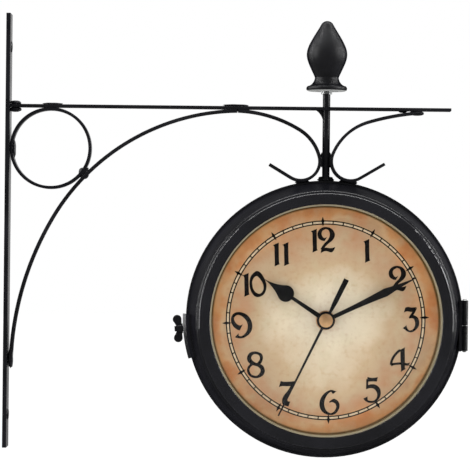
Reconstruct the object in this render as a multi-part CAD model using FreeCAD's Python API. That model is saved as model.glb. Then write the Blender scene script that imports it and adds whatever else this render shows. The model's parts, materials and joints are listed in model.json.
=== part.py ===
import FreeCAD, Part
import math
import os

# Double sided station clock on a wall bracket.
# Millimetres. The origin is the middle of the wall plate's back face: +X runs out
# from the wall along the arm, +Z is up, and the front dial faces -Y.

V = FreeCAD.Vector

# ---------------------------------------------------------------- clearances
RUNNING_GAP = 0.08       # radial, arbors and spindles in their bores
SEAT_GAP = 0.05          # radial, a rod or nut in a hole of its own body
MOVING_GAP = 0.3         # between two bodies that pass each other
PARTING_GAP = 0.15       # each rim face from the parting plane

# ---------------------------------------------------------------- wall plate and bars
PLATE_LENGTH = 316.0
PLATE_WIDTH = 20.0
PLATE_THICK = 3.0
SCREW_SPACING = 268.0
SCREW_BORE_R = 2.25
SCREW_COLLAR_WIDTH = 2.15
SCREW_COLLAR_PROUD = 0.8

STRIP_THICK = 2.2        # the arm, ring, brace and scrolls are bent from one strip
STRIP_WIDTH = 12.0
ARM_HEIGHT = 91.0        # arm's middle above the origin
ARM_PAST_SCROLL = 21.8   # from the outer scroll's end to the arm's tip

BRACE_DROP = 178.2       # from its end under the arm to the start of its tail
BRACE_LEAD_DEG = 1.3     # already bent away from the arm at its end there
BRACE_BEND_DEG = 60.0    # heading change where its long bend ends
BRACE_END_DEG = 87.0     # heading change where it lands on the plate
BRACE_TAIL = 6.0
BRACE_END_GAP = 0.8      # from the plate, filled by the weld
BRACE_SCROLL_GAP = 0.45  # to the inner scroll's end, filled by the weld
RING_BRACE_GAP = 1.0     # filled by the weld

# ---------------------------------------------------------------- post, scrolls, finial
HEAD_REACH = 233.5       # post and clock head from the wall
POST_R = 2.75
STEM = 52.4              # from the arm's middle down to the case's rim
GUSSET_WIDTH = 5.0
GUSSET_HEIGHT = 6.5
GUSSET_THICK = 3.0
GUSSET_HOLLOW = (0.35, 0.45)     # where its hollow edge passes, of its width and height

SCROLL_TAIL_R = 14.0     # the tight turn that rests on the case
SCROLL_SEAT = 0.6        # under the turn, over the rim
INNER_SCROLL_GAP = 0.6   # from the post, filled by the weld
INNER_LEAD_DEG = 1.8
INNER_SWEEP_R = 93.0
INNER_SWEEP_DEG = 31.0
INNER_KNEE_DEG = 75.0
INNER_TURN_DEG = 211.0
INNER_TAIL = 18.3
OUTER_SCROLL_GAP = 0.1
OUTER_LEAD_DEG = 4.7
OUTER_SWEEP_R = 185.0
OUTER_SWEEP_DEG = 16.8
OUTER_KNEE_DEG = 68.5
OUTER_TURN_DEG = 210.6
OUTER_TAIL = 20.5

COLLAR_WALL = 1.15
COLLAR_HEIGHT = 2.1
FINIAL_STAND = 11.7      # finial's foot above the arm
FINIAL_GRIP = 10.2       # of the post inside it
FINIAL_HEIGHT = 51.3
FINIAL_BELLY_R = 14.8
FINIAL_BELLY_HEIGHT = 26.8
FINIAL_NECK_R = 8.7
FINIAL_NECK_HEIGHT = 10.0
FINIAL_FLANGE_R = 14.9
FINIAL_FLANGE_THICK = 3.9
FINIAL_CROWN_R = 4.2
FINIAL_CROWN_DROP = 2.2
FINIAL_WAIST_FLARE = 0.9 # of the neck, low down over the flange
FINIAL_CUP = (0.56, 0.44)        # where the curve up to the belly passes, of its swell and rise
FINIAL_SHOULDER = (0.80, 0.42)   # where it passes above, of the belly's radius and the rise left

# ---------------------------------------------------------------- weld beads
# Each weld: its middle's offset from the joint along X and Z, then its half sizes.
WELD_SETBACK = 0.5       # from the bars' edges
PLATE_TOP_WELD = (3.0, 0.3, 4.2, 2.3)
PLATE_UNDER_WELD = (3.4, -0.6, 4.0, 2.6)
RING_ARM_WELD = (0.8, 0.9, 7.5, 2.6)
RING_PLATE_WELD = (1.4, -0.8, 2.6, 7.2)
RING_BRACE_WELD = (2.4, 2.1, 4.6, 4.2)
BRACE_ARM_WELD = (-1.6, 1.6, 9.8, 3.2)
BRACE_PLATE_WELD = (-0.3, 2.0, 1.9, 6.5)
OUTER_ARM_WELD = (-3.0, 0.2, 4.6, 2.2)
POST_FOOT_WELD = (0.0, 0.4, 5.6, 2.4)
POST_FOOT_WELD_DEPTH = 5.0
SCROLL_POST_WELD = (0.4, 0.0, 1.5, 4.8)
SCROLL_POST_WELD_DEPTH = 2.0
INNER_SEAT_WELD = (-2.0, 0.4, 5.2, 2.6)
OUTER_SEAT_WELD = (-2.0, 0.4, 6.4, 2.6)
FIXED_WELD_START = 0.5   # behind the parting plane, clear of the swinging half

# ---------------------------------------------------------------- clock case
CASE_OPENING_R = 85.0    # hole in the pressed front, for the glass
CASE_DEPTH = 42.4        # from the parting plane to the pressed front
SHEET = 1.0
SHOULDER_WIDTH = 8.6     # from the opening to the shoulder's outside
SHOULDER_FALL = 3.8      # from the pressed front to where the flank starts
SHOULDER_ROUND = 3.2
SHOULDER_TURN = 42.0     # degrees round the shoulder where its curve passes
FLANK_SPREAD = 5.9       # the flank widens this much towards the rim
RIM_PROUD = 1.5
RIM_THICK = 1.35         # one half's flange

BEZEL_LAP_OUT = 6.4      # over the pressed front, from the opening
BEZEL_LAP_IN = 1.8       # into the opening
BEZEL_HEIGHT = 2.6
BEZEL_ROUND = 1.9
BEZEL_LIP = 1.4          # how deep its inner lip goes into the opening
BEZEL_DISH = 0.4         # its face falls this much towards the glass
BEZEL_INNER_ROUND = 0.6

GLASS_LAP = 2.0          # behind the pressed front, past the opening
GLASS_THICK = 2.0
GASKET_THICK = 0.6
GASKET_SETBACK = 0.4     # from the opening's edge

GLASS_TO_DIAL = 9.4
DIAL_RING_SETBACK = 2.8  # inside the opening, so that it shows
DIAL_RING_WALL = 0.8
DIAL_RING_MARGIN = 0.5   # its flange ends inside the glass's edge
DIAL_PLATE_LAP = 1.5     # past the opening
DIAL_PLATE_THICK = 1.0
DIAL_PRINT_MARGIN = 1.0
DIAL_PRINT_THICK = 0.3
DIAL_TURN = 2.2          # degrees anticlockwise, as the print sits in the case
CLIP_COUNT = 4
CLIP_DEG = 6.0
CLIP_THICK = 1.0
CLIP_LAP = 5.5           # over the dial plate's edge
CLIP_FOOT = 9.0

# ---------------------------------------------------------------- hinge and latch
HINGE_STAND = 1.4        # pin's axis outside the rim
HINGE_DROP = 3.7         # hinge's middle below the case centre
HINGE_LENGTH = 36.6
HINGE_WALL = 1.17        # round the pin
HINGE_PIN_R = 1.25
HINGE_PIN_PROUD = 1.0
HINGE_PIN_LIP = 0.5      # of its heads over the bore
HINGE_LEAF_THICK = 1.2
HINGE_LEAF_DEPTH = 17.0
HINGE_LEAF_START = 0.4

LATCH_DEG = 4.4          # stud below the horizontal
STRAP_TOP_DEG = 1.5      # strap's top end above the horizontal
STRAP_SPAN_DEG = 18.3
STRAP_THICK = 2.0
STRAP_FOOT_DEPTH = 16.0
STRAP_FOOT_TOP = 5.0     # where it leaves the flank to clear the rim
STRAP_FOOT_THICK = 1.4   # hammered thinner at its foot
STRAP_FORK_DEPTH = 9.5   # past the parting plane, over the rear half
STUD_R = 2.0
STUD_DEPTH = 5.0         # behind the parting plane
STUD_PROUD = 8.6         # outside the rim
STUD_BASE_R = 3.4
STUD_BASE_THICK = 1.0
STUD_SINK = 1.5          # its weld foot starts under the flank's skin and is cut to it
WING_HUB_R = 3.6
WING_HUB_TOP_R = 2.9
WING_HUB_LENGTH = 4.6
WING_SPAN = 20.0
WING_LOBE_R = 3.2
WING_THICK = 2.2
WING_ROOT = 0.8          # the lobes' webs start this far up the hub
WING_PROUD = 9.5         # outside the rim

# ---------------------------------------------------------------- movement and hands
MOVEMENT_ROUND = 4.0
BUSH_WALL = 1.27
BUSH_SPARE = 0.4         # of the bush left past the nut
WASHER_LAP = 1.0         # past the nut's flats
WASHER_THICK = 0.4
NUT_ACROSS_FLATS = 12.0
NUT_THICK = 2.2
HOUR_PIPE_WALL = 0.67
MINUTE_ARBOR_WALL = 1.12
SECOND_ARBOR_R = 0.55
PIPE_DEPTH = 4.5         # of the hour pipe inside the housing
ARBOR_STEP = 2.0         # each inner arbor starts this much deeper

BATTERY_R = 7.05
BATTERY_LENGTH = 49.0
BATTERY_NUB_R = 2.7
BATTERY_NUB = 1.2
BATTERY_GAP = 0.3        # round the cell in its bay
BAY_END = 2.1            # past each end of the cell, for its contact
BAY_END_WALL = 1.4
BAY_WALL = 1.2
BAY_LIP = 0.6            # the housing reaches this far past the cell
CONTACT_THICK = 0.4
CONTACT_WIDTH = 8.0
CONTACT_SPRING_R = 3.5
CONTACT_SPRING_TIP_R = 2.1

KNOB_X = -13.0
KNOB_Y = 12.0
KNOB_R = 6.5
KNOB_THICK = 4.0
KNOB_GAP = 0.4
KNOB_SPINDLE_R = 1.2
KNOB_SPINDLE_DEPTH = 6.0
KNOB_FLUTES = 12
KNOB_FLUTE_R = 0.9

HAND_THICK = 0.5
HAND_START = 0.4         # hour hand's underside above the bush
HAND_STEP = 1.9          # between one hand and the next
HOUR_BOSS_R = 6.0
HOUR_TIP_GAP = 28.7      # from the tip to the dial's ring
HOUR_ARM_ROOT = 3.6
HOUR_ARM_TIP = 2.4
SPADE_R = 6.0
SPADE_FROM_TIP = 18.9
SPADE_SHOULDER_DEG = 28.0
SPADE_HOLLOW = (0.31, 0.48)      # where the hollow edge passes, of its width and length
MINUTE_BOSS_R = 6.5
MINUTE_TIP_GAP = 10.2
MINUTE_ARM = 2.9
MINUTE_ARM_SPREAD = 0.1
MINUTE_LEAF = 6.0
MINUTE_LEAF_FROM_TIP = 24.6
MINUTE_LEAF_FALL = 9.5   # from its widest place to its neck
MINUTE_LEAF_SWELL = (0.36, 0.72) # where its curve passes, of its width and of the arm's length
MINUTE_NECK = 0.52       # of the leaf's width
SECOND_BOSS_R = 3.2
SECOND_TIP_GAP = 5.9
SECOND_ROOT = 2.0
SECOND_TIP = 1.1
SECOND_TAIL = 33.0
SECOND_TAIL_WIDTH = 3.8
SECOND_TAIL_TAPER = 0.2
SECOND_TAIL_KNEES = (0.45, 0.2)  # where it narrows, of the tail's length
HAND_TIP = 0.3           # width left at a pointed tip
HAND_COLLAR = 0.3        # of a pipe or arbor through its hand
CAP_R = 4.9
CAP_HEIGHT = 1.2

HOUR_SHOWN = 10
MINUTE_SHOWN = 11.07
SECOND_SHOWN = 34.7

# ---------------------------------------------------------------- derived places
STRIP_UNDER_ARM = ARM_HEIGHT - STRIP_THICK
ARM_TOP = ARM_HEIGHT + STRIP_THICK / 2
ARM_UNDERSIDE = ARM_HEIGHT - STRIP_THICK / 2

SHOULDER_R = CASE_OPENING_R + SHOULDER_WIDTH
SHOULDER_DEPTH = CASE_DEPTH - SHOULDER_FALL
FLANK_R = SHOULDER_R + FLANK_SPREAD          # at the rim
RIM_R = FLANK_R + RIM_PROUD
FLANK_TAPER = FLANK_SPREAD / (SHOULDER_DEPTH - RIM_THICK - PARTING_GAP)
HEAD_Z = ARM_HEIGHT - STEM - RIM_R
HEAD = V(HEAD_REACH, 0, HEAD_Z)
POST_FOOT = HEAD_Z + RIM_R + MOVING_GAP
FINIAL_BASE = ARM_TOP + FINIAL_STAND
POST_TOP = FINIAL_BASE + FINIAL_GRIP

BEZEL_OUTER_R = CASE_OPENING_R + BEZEL_LAP_OUT
BEZEL_INNER_R = CASE_OPENING_R - BEZEL_LAP_IN
GASKET_FACE = CASE_DEPTH - SHEET
GLASS_R = CASE_OPENING_R + GLASS_LAP
GLASS_FRONT = GASKET_FACE - GASKET_THICK
GLASS_BACK = GLASS_FRONT - GLASS_THICK
DIAL_RING_R = CASE_OPENING_R - DIAL_RING_SETBACK
DIAL_PLATE_R = CASE_OPENING_R + DIAL_PLATE_LAP
DIAL_DEPTH = GLASS_BACK - GLASS_TO_DIAL      # dial's printed face from the parting plane
DIAL_BACK = DIAL_DEPTH - DIAL_PRINT_THICK - DIAL_PLATE_THICK

MINUTE_ARBOR_BORE_R = SECOND_ARBOR_R + RUNNING_GAP
MINUTE_ARBOR_R = MINUTE_ARBOR_BORE_R + MINUTE_ARBOR_WALL
HOUR_PIPE_BORE_R = MINUTE_ARBOR_R + RUNNING_GAP
HOUR_PIPE_R = HOUR_PIPE_BORE_R + HOUR_PIPE_WALL
BUSH_R = HOUR_PIPE_R + RUNNING_GAP + BUSH_WALL
BUSH_PROUD = WASHER_THICK + NUT_THICK + BUSH_SPARE   # past the dial's face
BAY_HALF_LENGTH = BATTERY_LENGTH / 2 + BAY_END
MOVEMENT_SIDE = 2 * (BAY_HALF_LENGTH + BAY_END_WALL)
MOVEMENT_DEPTH = BAY_WALL + 2 * (BATTERY_R + BATTERY_GAP) + BAY_LIP
MOVEMENT_BACK = DIAL_BACK - MOVEMENT_DEPTH
PIPE_FOOT = DIAL_BACK - PIPE_DEPTH
MINUTE_FOOT = PIPE_FOOT - ARBOR_STEP
SECOND_FOOT = MINUTE_FOOT - ARBOR_STEP
HOUR_HAND_AT = DIAL_DEPTH + BUSH_PROUD + HAND_START
MINUTE_HAND_AT = HOUR_HAND_AT + HAND_STEP
SECOND_HAND_AT = MINUTE_HAND_AT + HAND_STEP
HOUR_LENGTH = DIAL_RING_R - HOUR_TIP_GAP
MINUTE_LENGTH = DIAL_RING_R - MINUTE_TIP_GAP
SECOND_LENGTH = DIAL_RING_R - SECOND_TIP_GAP
MINUTE_ANGLE = 6.0 * MINUTE_SHOWN - DIAL_TURN
HOUR_ANGLE = 30.0 * HOUR_SHOWN + 0.5 * MINUTE_SHOWN - DIAL_TURN
SECOND_ANGLE = 6.0 * SECOND_SHOWN - DIAL_TURN

HINGE_R = RIM_R + HINGE_STAND
HINGE_KNUCKLE_R = HINGE_PIN_R + RUNNING_GAP + HINGE_WALL

SOLIDS = {}


def sind(degrees):
    return math.sin(math.radians(degrees))


def cosd(degrees):
    return math.cos(math.radians(degrees))


# ---------------------------------------------------------------- small makers
def outline(start, *steps):
    """Closed wire from start: a step is an end point, or a (middle, end) pair for an arc."""
    edges = []
    here = start
    for step in steps:
        if isinstance(step, tuple):
            edges.append(Part.Arc(here, step[0], step[1]).toShape())
            here = step[1]
        else:
            edges.append(Part.LineSegment(here, step).toShape())
            here = step
    if here.distanceToPoint(start) > 1e-6:
        edges.append(Part.LineSegment(here, start).toShape())
    return Part.Wire(edges)


def turned(start, *steps):
    """Solid of revolution about local Z from an outline in the XZ plane."""
    return Part.Face(outline(start, *steps)).revolve(V(), V(0, 0, 1), 360)


def dome_middle(radius, low, high):
    """Point halfway along a spherical arc that rises from a rim to the axis."""
    rise = high - low
    sphere_r = (radius ** 2 + rise ** 2) / (2 * rise)
    half = math.asin(radius / sphere_r) / 2
    return V(sphere_r * math.sin(half), 0, high - sphere_r + sphere_r * math.cos(half))


def tube(outer_r, inner_r, low, high):
    body = Part.makeCylinder(outer_r, high - low, V(0, 0, low))
    return body.cut(Part.makeCylinder(inner_r, high - low, V(0, 0, low)))


def rod(radius, low, high):
    return Part.makeCylinder(radius, high - low, V(0, 0, low))


def box_between(low, high):
    return Part.makeBox(high.x - low.x, high.y - low.y, high.z - low.z, low)


def flank_radius(depth):
    """Outside radius of the tapered flank at a distance from the parting plane."""
    return FLANK_R - FLANK_TAPER * (depth - RIM_THICK - PARTING_GAP)


def sheet_across():
    """Radial distance through the tapered flank's sheet."""
    return SHEET * math.hypot(1, FLANK_TAPER)


# ---------------------------------------------------------------- bent bars
def centre_line(start, heading, legs):
    """Points and headings at each leg's start, middle and end; a leg is a run or (radius, turn)."""
    stations = []
    for leg in legs:
        for part in (0.0, 0.5, 1.0):
            if isinstance(leg, tuple):
                radius, turn = leg
                side = 1 if turn > 0 else -1
                now = heading + turn * part
                x = start.x + side * radius * (sind(now) - sind(heading))
                z = start.z - side * radius * (cosd(now) - cosd(heading))
            else:
                now = heading
                x = start.x + leg * part * cosd(now)
                z = start.z + leg * part * sind(now)
            stations.append((V(x, 0, z), now))
        start, heading = stations[-1]
    return stations


def bent_bar(start, heading, legs):
    """Strip on edge that follows the legs in the XZ plane, centred on Y = 0."""
    stations = centre_line(start, heading, legs)
    sides = []
    for shift in (STRIP_THICK / 2, -STRIP_THICK / 2):
        side = []
        for point, now in stations:
            side.append(point + V(-sind(now), 0, cosd(now)) * shift)
        sides.append(side)
    edges = []
    for side in sides:
        for index, leg in enumerate(legs):
            first, middle, last = side[3 * index:3 * index + 3]
            if isinstance(leg, tuple):
                edges.append(Part.Arc(first, middle, last).toShape())
            else:
                edges.append(Part.LineSegment(first, last).toShape())
    for end in (0, -1):
        edges.append(Part.LineSegment(sides[0][end], sides[1][end]).toShape())
    face = Part.Face(Part.Wire(Part.__sortEdges__(edges)))
    face.translate(V(0, -STRIP_WIDTH / 2, 0))
    return face.extrude(V(0, STRIP_WIDTH, 0))


def make_wall_plate():
    half = PLATE_LENGTH / 2
    width = PLATE_WIDTH / 2
    plate = box_between(V(0, -width, -half), V(PLATE_THICK, width, half))
    for z in (-SCREW_SPACING / 2, SCREW_SPACING / 2):
        collar_r = SCREW_BORE_R + SCREW_COLLAR_WIDTH
        collar = Part.makeCone(collar_r, collar_r - SCREW_COLLAR_PROUD, SCREW_COLLAR_PROUD,
                               V(PLATE_THICK, 0, z), V(1, 0, 0))
        through = PLATE_THICK + SCREW_COLLAR_PROUD
        hole = Part.makeCylinder(SCREW_BORE_R, through, V(0, 0, z), V(1, 0, 0))
        plate = plate.fuse(collar).cut(hole)
    return plate.removeSplitter()


def make_arm():
    width = STRIP_WIDTH / 2
    tip = outer_scroll()[0].x + ARM_PAST_SCROLL
    arm = box_between(V(PLATE_THICK, -width, ARM_UNDERSIDE), V(tip, width, ARM_TOP))
    hole = Part.makeCylinder(
        POST_R + SEAT_GAP, STRIP_THICK, V(HEAD_REACH, 0, ARM_UNDERSIDE))
    return arm.cut(hole)


def brace():
    """Start point, heading and legs of the brace, from the inner scroll's end to the plate.

    The radii of its two bends follow from how far it reaches across and down.
    """
    end_x = PLATE_THICK + BRACE_END_GAP + STRIP_THICK / 2
    start_x = inner_scroll()[0].x - BRACE_SCROLL_GAP
    across = start_x - end_x - BRACE_TAIL * cosd(BRACE_END_DEG)
    lead, bend, end = BRACE_LEAD_DEG, BRACE_BEND_DEG, BRACE_END_DEG
    first_across, first_down = sind(bend) - sind(lead), cosd(lead) - cosd(bend)
    second_across, second_down = sind(end) - sind(bend), cosd(bend) - cosd(end)
    scale = first_across * second_down - second_across * first_down
    first_r = (across * second_down - second_across * BRACE_DROP) / scale
    second_r = (first_across * BRACE_DROP - first_down * across) / scale
    start = V(start_x, 0, STRIP_UNDER_ARM - STRIP_THICK / 2 * (1 - cosd(lead)))
    return start, 180 + lead, [(first_r, bend - lead), (second_r, end - bend), BRACE_TAIL]


def ring_circle():
    """Centre and outside radius of the ring that fills the corner of plate, arm and brace.

    A circle that touches two square sides lies as far from both, so its distance
    to the middle of the brace's long bend gives its radius.
    """
    start, heading, legs = brace()
    bend_r = legs[0][0]
    bend_x = start.x - bend_r * sind(heading)
    bend_z = start.z + bend_r * cosd(heading)
    right = bend_x - PLATE_THICK
    up = ARM_UNDERSIDE - bend_z
    reach = bend_r + STRIP_THICK / 2 + RING_BRACE_GAP
    total = right + up + reach
    radius = total - math.sqrt(total ** 2 - right ** 2 - up ** 2 + reach ** 2)
    centre = V(PLATE_THICK + radius, 0, ARM_UNDERSIDE - radius)
    toward = V(bend_x, 0, bend_z) - centre
    return centre, radius, toward.normalize()


def make_ring():
    centre, radius, _ = ring_circle()
    ring = tube(radius, radius - STRIP_THICK, 0, STRIP_WIDTH)
    ring.rotate(V(), V(1, 0, 0), 90)
    ring.translate(centre + V(0, STRIP_WIDTH / 2, 0))
    return ring


def rim_height(x):
    """Top of the rim above the origin at a distance from the wall."""
    return HEAD_Z + math.sqrt(RIM_R ** 2 - (x - HEAD_REACH) ** 2)


def scroll_turn_x(side, gap):
    """Middle of a scroll's tight turn."""
    return HEAD_REACH + side * (POST_R + gap + STRIP_THICK / 2 + SCROLL_TAIL_R)


def scroll(side, gap, lead, sweep_r, sweep, knee, turn, tail):
    """Start point, heading and legs of a scroll on one side of the post (-1 is the wall side).

    Its tight turn stands next to the post and rests over the rim, so the knee's
    radius follows from the drop that is left between the arm and the rim.
    """
    turn_x = scroll_turn_x(side, gap)
    low_z = rim_height(turn_x) + SCROLL_SEAT + STRIP_THICK / 2
    start_z = STRIP_UNDER_ARM - STRIP_THICK / 2 * (1 - cosd(lead))
    sweep_drop = sweep_r * (cosd(lead) - cosd(sweep))
    turn_drop = SCROLL_TAIL_R * (cosd(knee) + 1)
    knee_r = (start_z - low_z - sweep_drop - turn_drop) / (cosd(sweep) - cosd(knee))
    across = (sweep_r * (sind(sweep) - sind(lead)) + knee_r * (sind(knee) - sind(sweep))
              - SCROLL_TAIL_R * sind(knee))
    start = V(turn_x + side * across, 0, start_z)
    heading = 180 + lead if side > 0 else -lead
    legs = [(sweep_r, side * (sweep - lead)), (knee_r, side * (knee - sweep)),
            (SCROLL_TAIL_R, side * (turn - knee)), tail]
    return start, heading, legs


def inner_scroll():
    return scroll(-1, INNER_SCROLL_GAP, INNER_LEAD_DEG, INNER_SWEEP_R, INNER_SWEEP_DEG,
                  INNER_KNEE_DEG, INNER_TURN_DEG, INNER_TAIL)


def outer_scroll():
    return scroll(1, OUTER_SCROLL_GAP, OUTER_LEAD_DEG, OUTER_SWEEP_R, OUTER_SWEEP_DEG,
                  OUTER_KNEE_DEG, OUTER_TURN_DEG, OUTER_TAIL)


def make_post():
    return Part.makeCylinder(POST_R, POST_TOP - POST_FOOT, V(HEAD_REACH, 0, POST_FOOT))


def make_gusset():
    """Small web under the arm, on the wall side of the post."""
    corner = V(HEAD_REACH - POST_R, -GUSSET_THICK / 2, ARM_UNDERSIDE)
    across, down = GUSSET_HOLLOW
    bow = corner + V(-GUSSET_WIDTH * across, 0, -GUSSET_HEIGHT * down)
    wire = outline(corner, corner + V(-GUSSET_WIDTH, 0, 0),
                   (bow, corner + V(0, 0, -GUSSET_HEIGHT)))
    return Part.Face(wire).extrude(V(0, GUSSET_THICK, 0)).cut(make_post())


def make_post_collar():
    bore = POST_R + SEAT_GAP
    collar = tube(bore + COLLAR_WALL, bore, 0, COLLAR_HEIGHT)
    collar.translate(V(HEAD_REACH, 0, FINIAL_BASE - COLLAR_HEIGHT))
    return collar


def make_finial():
    """Turned spade knob: a rolled foot, a waist, and a pointed belly with a round crown."""
    roll = FINIAL_FLANGE_THICK / 2
    foot = [V(0, 0, 0), V(FINIAL_FLANGE_R - roll, 0, 0)]
    foot_mid = V(FINIAL_FLANGE_R, 0, roll)
    foot_top = V(FINIAL_FLANGE_R - roll, 0, FINIAL_FLANGE_THICK)
    neck_low = V(FINIAL_NECK_R + FINIAL_WAIST_FLARE, 0,
                 (FINIAL_FLANGE_THICK + FINIAL_NECK_HEIGHT) / 2)
    neck = V(FINIAL_NECK_R, 0, FINIAL_NECK_HEIGHT)
    rise = FINIAL_BELLY_HEIGHT - FINIAL_NECK_HEIGHT
    swell = FINIAL_BELLY_R - FINIAL_NECK_R
    crown_z = FINIAL_HEIGHT - FINIAL_CROWN_DROP
    top = crown_z - FINIAL_BELLY_HEIGHT
    belly = Part.BSplineCurve()
    belly.interpolate([
        neck,
        V(FINIAL_NECK_R + swell * FINIAL_CUP[0], 0, FINIAL_NECK_HEIGHT + rise * FINIAL_CUP[1]),
        V(FINIAL_BELLY_R, 0, FINIAL_BELLY_HEIGHT),
        V(FINIAL_BELLY_R * FINIAL_SHOULDER[0], 0, FINIAL_BELLY_HEIGHT + top * FINIAL_SHOULDER[1]),
        V(FINIAL_CROWN_R, 0, crown_z)])
    crown_mid = dome_middle(FINIAL_CROWN_R, crown_z, FINIAL_HEIGHT)
    tip = V(0, 0, FINIAL_HEIGHT)
    edges = [
        Part.LineSegment(foot[0], foot[1]).toShape(),
        Part.Arc(foot[1], foot_mid, foot_top).toShape(),
        Part.Arc(foot_top, neck_low, neck).toShape(),
        belly.toShape(),
        Part.Arc(V(FINIAL_CROWN_R, 0, crown_z), crown_mid, tip).toShape(),
        Part.LineSegment(tip, foot[0]).toShape()]
    knob = Part.Face(Part.Wire(edges)).revolve(V(), V(0, 0, 1), 360)
    socket = POST_TOP - FINIAL_BASE + MOVING_GAP
    knob = knob.cut(rod(POST_R + SEAT_GAP, 0, socket))
    knob.translate(V(HEAD_REACH, 0, FINIAL_BASE))
    return knob


# ---------------------------------------------------------------- weld beads
def bead(joint_x, joint_z, weld, low_y, high_y, side=1):
    """Run of weld metal along Y with an elliptic section, before the bars are cut from it."""
    offset_x, offset_z, half_x, half_z = weld
    along = V(1, 0, 0) if half_x >= half_z else V(0, 0, 1)
    centre = V(joint_x + side * offset_x, low_y, joint_z + offset_z)
    section = Part.Ellipse(centre + along * max(half_x, half_z),
                           centre + along.cross(V(0, 1, 0)) * min(half_x, half_z), centre)
    face = Part.Face(Part.Wire(section.toShape()))
    return face.extrude(V(0, high_y - low_y, 0))


def make_weld_beads(bars, case):
    """Beads at every place where two bars, or a bar and the fixed half of the case, meet."""
    across = STRIP_WIDTH / 2 - WELD_SETBACK
    brace_end = centre_line(*brace())[-1][0]
    outer_start = centre_line(*outer_scroll())[0][0]
    ring, ring_r, toward_brace = ring_circle()
    touch = ring + toward_brace * ring_r
    beads = [
        bead(PLATE_THICK, ARM_TOP, PLATE_TOP_WELD, -across, across),
        bead(PLATE_THICK, ARM_UNDERSIDE, PLATE_UNDER_WELD, -across, across),
        bead(ring.x, ARM_UNDERSIDE, RING_ARM_WELD, -across, across),
        bead(PLATE_THICK, ring.z, RING_PLATE_WELD, -across, across),
        bead(touch.x, touch.z, RING_BRACE_WELD, -across, across),
        bead(brace()[0].x, STRIP_UNDER_ARM, BRACE_ARM_WELD, -across, across),
        bead(brace_end.x, brace_end.z, BRACE_PLATE_WELD, -across, across),
        bead(outer_start.x, STRIP_UNDER_ARM, OUTER_ARM_WELD, -across, across),
        bead(HEAD_REACH, POST_FOOT, POST_FOOT_WELD, FIXED_WELD_START, POST_FOOT_WELD_DEPTH)]
    for side, gap, seat_weld in ((-1, INNER_SCROLL_GAP, INNER_SEAT_WELD),
                                 (1, OUTER_SCROLL_GAP, OUTER_SEAT_WELD)):
        turn_x = scroll_turn_x(side, gap)
        turn_z = rim_height(turn_x) + SCROLL_SEAT + STRIP_THICK + SCROLL_TAIL_R
        beads.append(bead(HEAD_REACH + side * POST_R, turn_z, SCROLL_POST_WELD,
                          -SCROLL_POST_WELD_DEPTH, SCROLL_POST_WELD_DEPTH, side))
        rim_z = rim_height(turn_x + side * seat_weld[0])
        beads.append(bead(turn_x, rim_z, seat_weld, FIXED_WELD_START, across, side))
    metal = bars + [case]
    trimmed = []
    for lump in beads:
        rest = lump.cut(metal)
        trimmed.append(max(rest.Solids, key=lambda solid: solid.Volume))
    return Part.makeCompound(trimmed)


# ---------------------------------------------------------------- one side of the case
# Each side is built facing local +Z with local +Y up, from the parting plane at Z = 0.
def make_case_half():
    """Spun pan: rim flange, tapered flank, rounded shoulder and an opening for the glass."""
    gap = PARTING_GAP
    edge = RIM_THICK / 2
    rim_top = gap + RIM_THICK
    thick = sheet_across()
    shoulder_out = V(SHOULDER_R, 0, SHOULDER_DEPTH)
    flat_r = SHOULDER_R - SHOULDER_ROUND
    turn = SHOULDER_TURN
    shoulder_mid = V(flat_r + SHOULDER_ROUND * cosd(turn), 0,
                     SHOULDER_DEPTH + SHOULDER_FALL * cosd(turn))
    inner_mid = V(flat_r + (SHOULDER_ROUND - SHEET) * cosd(turn), 0,
                  SHOULDER_DEPTH + (SHOULDER_FALL - SHEET) * cosd(turn))
    return turned(
        V(FLANK_R - thick, 0, gap),
        V(RIM_R - edge, 0, gap),
        (V(RIM_R, 0, gap + edge), V(RIM_R - edge, 0, rim_top)),
        V(FLANK_R, 0, rim_top),
        shoulder_out,
        (shoulder_mid, V(flat_r, 0, CASE_DEPTH)),
        V(CASE_OPENING_R, 0, CASE_DEPTH),
        V(CASE_OPENING_R, 0, CASE_DEPTH - SHEET),
        V(flat_r, 0, CASE_DEPTH - SHEET),
        (inner_mid, V(SHOULDER_R - thick, 0, SHOULDER_DEPTH)),
        V(FLANK_R - thick, 0, rim_top))


def make_bezel():
    """Ring over the pressed front, round outside, its lip turned into the opening."""
    front = CASE_DEPTH + BEZEL_HEIGHT
    lip_back = CASE_DEPTH - BEZEL_LIP
    shelf = CASE_OPENING_R - SEAT_GAP
    soft = BEZEL_ROUND * (1 - cosd(45))
    inner_soft = BEZEL_INNER_ROUND * (1 - cosd(45))
    inner_front = front - BEZEL_DISH
    return turned(
        V(BEZEL_OUTER_R, 0, CASE_DEPTH),
        V(BEZEL_OUTER_R, 0, front - BEZEL_ROUND),
        (V(BEZEL_OUTER_R - soft, 0, front - soft), V(BEZEL_OUTER_R - BEZEL_ROUND, 0, front)),
        V(BEZEL_INNER_R + BEZEL_INNER_ROUND, 0, inner_front),
        (V(BEZEL_INNER_R + inner_soft, 0, inner_front - inner_soft),
         V(BEZEL_INNER_R, 0, inner_front - BEZEL_INNER_ROUND)),
        V(BEZEL_INNER_R, 0, lip_back),
        V(shelf, 0, lip_back),
        V(shelf, 0, CASE_DEPTH))


def make_glass_gasket():
    return tube(GLASS_R + SEAT_GAP, CASE_OPENING_R + GASKET_SETBACK, GLASS_FRONT, GASKET_FACE)


def make_glass():
    return rod(GLASS_R, GLASS_BACK, GLASS_FRONT)


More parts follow.
